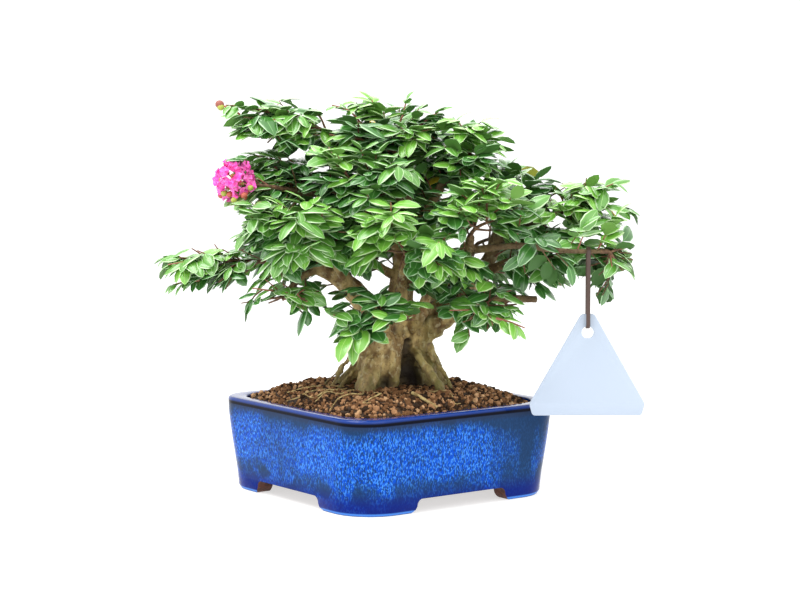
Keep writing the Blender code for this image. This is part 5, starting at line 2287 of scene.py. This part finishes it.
@dataclass
class SurfaceRoots:
    """Fine pale roots and a dry stick that lie on the soil."""

    site: Site
    soil: GranuleSoil
    roots: tuple[tuple[Span, ...], ...] = (
        ((-24, -22), (-33, -29), (-43, -25), (-52, -30), (-60, -24)),
        ((-20, -30), (-27, -38), (-36, -36), (-42, -44)), ((-26, -14), (-38, -9), (-48, -16), (-60, -12)),
        ((-14, -36), (-16, -48), (-28, -50), (-33, -58)), ((24, -32), (36, -38), (38, -46), (42, -45)),
        ((-30, -30), (-42, -36), (-50, -28)), ((-8, -40), (-4, -52), (-14, -60), (-10, -66)),
    )
    stick: tuple[Span, ...] = ((14, -46), (22, -54), (28, -58))

    def lay(self, line: Sequence[Span], lift: float, count: int) -> Array:
        """Lays a line of tree places on the soil.

        Args:
            line: Right and away of a few places.
            lift: Height above the soil.
            count: How many places come back.

        Returns:
            The path.
        """
        path = smooth_path([(right, away, 0) for right, away in line], count)
        path[:, 2] = [self.soil.height_at(x, y) + lift for x, y, _ in path @ TREE_AXES.T]
        return path

    def build(self) -> list[Thing]:
        """Builds the roots and the stick.

        Returns:
            The piece.
        """
        shoal = Shoal()
        for line in self.roots:
            path = self.lay(line, 1.7, 22)
            shoal.tube(path, np.linspace(0.55, 0.28, len(path)), 6)
        path = self.lay(self.stick, 2.2, 6)
        shoal.tube(path, np.linspace(1.0, 0.8, len(path)), 7)
        finish = SpottedFinish("dry_root", srgb(196, 174, 118), srgb(150, 124, 78), Mottle(3), 0.85, 0.1)
        return [dress(shoal.build("surface_roots", self.site, [finish]), "plant", "bark")]


# ---- tag


@dataclass
class HangTag:
    """Frosted triangular tag with soft corners, hung by a brown strap; its face is left bare."""

    site: Site
    bottom: float = 51.0
    height: float = 59.0
    base_half: float = 31.6
    shoulder_half: float = 33.5
    shoulder_rise: float = 6.8
    top_half: float = 3.8
    thickness: float = 1.0
    hole_radius: float = 3.4
    hole_drop: float = 10.7
    strap_width: float = 2.3
    strap_inside: float = 2.5
    strap_thickness: float = 0.9
    twig_radius: float = 1.6
    corner_round: float = 1.6
    edge_round: float = 0.18
    strap_edge_round: float = 0.25
    circle_steps: int = 40

    def stand(self, made: Thing, turn: float) -> None:
        """Stands a flat shape upright at the tag's place.

        Args:
            made: The shape, drawn flat around the origin in metres.
            turn: Turn about Z, in radians.
        """
        place = Vector(self.site.tree((TAG_RIGHT, TAG_AWAY, 0)))
        made.data.transform(Matrix.Translation(place) @ Matrix.Rotation(turn, 4, "Z")
                            @ Matrix.Rotation(math.pi / 2, 4, "X"))

    def build_plate(self) -> Thing:
        """The plate: a thin block cut to a triangle, its corners rounded and its hole cut.

        Returns:
            The plate.
        """
        half = self.thickness / 2 * MM
        plate = add_block("frosted_tag", (-self.shoulder_half * MM, self.bottom * MM, -half),
                          (self.shoulder_half * MM, (self.bottom + self.height) * MM, half))
        rise_at = (self.bottom + self.shoulder_rise) * MM
        with editing(plate):
            slice_all((0, rise_at, 0), (0, 1, 0))
            for sign, new_half in ((-1, self.base_half), (1, self.top_half)):
                pick(Part.VERTS, lambda vert: (vert.co.y - rise_at) * sign > 1e-4)
                bpy.ops.transform.resize(value=(new_half / self.shoulder_half, 1, 1),
                                         center_override=(0, 0, 0))
            round_edges(lambda edge: abs(edge.verts[0].co.z - edge.verts[1].co.z) > half,
                        self.corner_round, 4)
        hole = (0, (self.bottom + self.height - self.hole_drop) * MM, 0)
        punch = add_primitive(bpy.ops.mesh.primitive_cylinder_add, "punch", vertices=self.circle_steps,
                              radius=self.hole_radius * MM, depth=8 * MM, location=hole)
        cut_away(plate, punch)
        soften(plate, self.edge_round, 40)
        self.stand(plate, TREE_TURN)
        paint(plate, PlainFinish("tag_plastic", srgb(178, 190, 206), 0.4, 0.0, 0.3))
        shade(plate, 35)
        return dress(plate, "tag", "frosted_plastic", "tag")

    def build_strap(self) -> Thing:
        """The closed strap round the twig and through the hole, as a band with rounded edges.

        Returns:
            The strap.
        """
        hole_top = self.bottom + self.height - self.hole_drop + self.hole_radius
        low = hole_top - GAP + math.sqrt(self.strap_inside ** 2 - (self.thickness / 2) ** 2)
        high = TAG_TWIG_UP + self.twig_radius + GAP - self.strap_inside
        middle, stretch = (low + high) / 2 * MM, (high - low) / 2 * MM
        strap = add_primitive(bpy.ops.mesh.primitive_circle_add, "brown_strap", vertices=self.circle_steps,
                              radius=(self.strap_inside + self.strap_thickness) * MM,
                              location=(0, middle, -self.strap_width / 2 * MM))
        with editing(strap):
            for sign in (1, -1):
                pick(Part.VERTS, lambda vert: (vert.co.y - middle) * sign > (-1e-6 if sign > 0 else 1e-6))
                bpy.ops.transform.translate(value=(0, sign * stretch, 0))
            bpy.ops.mesh.select_all(action="SELECT")
            extrude(0, 0, self.strap_width * MM)
            turn_outward()
        apply(strap, "SOLIDIFY", thickness=self.strap_thickness * MM, offset=-1)
        soften(strap, self.strap_edge_round, 50)
        self.stand(strap, TREE_TURN + math.pi / 2)
        paint(strap, PlainFinish("strap_plastic", srgb(76, 56, 48), 0.42))
        shade(strap, 40)
        return dress(strap, "tag", "brown_strap", "tag_strap")

    def build(self) -> list[Thing]:
        """The plate and its strap."""
        return [self.build_plate(), self.build_strap()]


# ---- studio


@dataclass(frozen=True)
class Softbox:
    """A square light that looks at the tree: its place in metres, its side and its watts."""

    name: str
    near: float
    right: float
    up: float
    side: float
    power: float


@dataclass
class Studio:
    """White floor, soft lights and the camera."""

    site: Site
    camera_place: Place = (955.70, -694.99, 215.67)
    heading: float = 143.624
    pitch: float = -5.073
    lens: float = 89.24
    sensor: float = 36.0
    clip: float = 0.01
    floor_side: float = 24.0
    floor_grey: float = 0.5
    floor_glow: float = 0.62
    sky: float = 1.3
    aim: float = 0.11
    softboxes: tuple[Softbox, ...] = (
        Softbox("key_softbox", 0.3, -0.45, 1.1, 0.8, 11),
        Softbox("fill_softbox", 0.9, 0.7, 0.5, 0.9, 2.5),
        Softbox("back_softbox", -0.9, 0.0, 0.9, 0.8, 3),
    )

    def add_light(self, softbox: Softbox) -> None:
        """Adds one softbox that looks at the tree.

        Args:
            softbox: The light.
        """
        data = bpy.data.lights.new(softbox.name, "AREA")
        data.shape = "SQUARE"
        data.size = softbox.side
        data.energy = softbox.power
        near = Vector((TREE_SIN, -TREE_COS, 0))
        right = Vector((TREE_COS, TREE_SIN, 0))
        made = add_object(softbox.name, data)
        place = near * softbox.near + right * softbox.right + Vector((0, 0, softbox.up))
        made.location = place + self.site.origin
        target = self.site.origin + Vector((0, 0, self.aim))
        made.rotation_euler = (target - made.location).to_track_quat("-Z", "Y").to_euler()

    def add_floor(self) -> None:
        """Adds the white floor, which glows a little."""
        floor = add_primitive(bpy.ops.mesh.primitive_plane_add, "studio_floor", size=self.floor_side,
                              location=(0, 0, 0))
        white, _, shader = start_material("white_floor", 0.95, specular=0.0)
        shader.inputs["Base Color"].default_value = (self.floor_grey, self.floor_grey, self.floor_grey, 1)
        shader.inputs["Emission Color"].default_value = (1, 1, 1, 1)
        shader.inputs["Emission Strength"].default_value = self.floor_glow
        floor.data.materials.append(white)
        floor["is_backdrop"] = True

    def add_camera(self) -> None:
        """Adds the camera."""
        camera = bpy.data.cameras.new("studio_camera")
        camera.lens = self.lens
        camera.sensor_width = self.sensor
        camera.clip_start = self.clip
        made = add_object("studio_camera", camera)
        made.location = Vector(self.camera_place) * MM + self.site.origin
        turn, tilt = math.radians(self.heading), math.radians(self.pitch)
        ahead = Vector((math.cos(turn) * math.cos(tilt), math.sin(turn) * math.cos(tilt), math.sin(tilt)))
        made.rotation_euler = ahead.to_track_quat("-Z", "Y").to_euler()
        bpy.context.scene.camera = made

    def build(self) -> None:
        """Builds floor, world, lights and camera."""
        self.add_floor()
        world = bpy.data.worlds.new("studio")
        bpy.context.scene.world = world
        world.use_nodes = True
        sky = world.node_tree.nodes["Background"]
        sky.inputs["Color"].default_value = (1, 1, 1, 1)
        sky.inputs["Strength"].default_value = self.sky
        for softbox in self.softboxes:
            self.add_light(softbox)
        self.add_camera()
        bpy.context.scene.view_settings.view_transform = "Standard"
        LOG.info("studio ready")


def box_lists() -> list[list[float]]:
    """The whole object's box as plain lists."""
    return [[float(value) for value in corner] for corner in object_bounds()]


def main() -> None:
    """Builds every piece in order, keeping the imported solids' box for the foliage."""
    logging.basicConfig(level=logging.INFO, format="%(message)s")
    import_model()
    cad_box = box_lists()
    low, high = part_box("pot")
    site = Site(Vector(((low[0] + high[0]) / 2, (low[1] + high[1]) / 2, 0)))
    soil = GranuleSoil(site)
    GlazedPot(site).build()
    soil.build()
    Wood(site).build()
    Foliage(site, Surroundings(site, cad_box)).build()
    Blossom(site).build()
    SurfaceRoots(site, soil).build()
    HangTag(site).build()
    Studio(site).build()


if __name__ == "__main__":
    main()
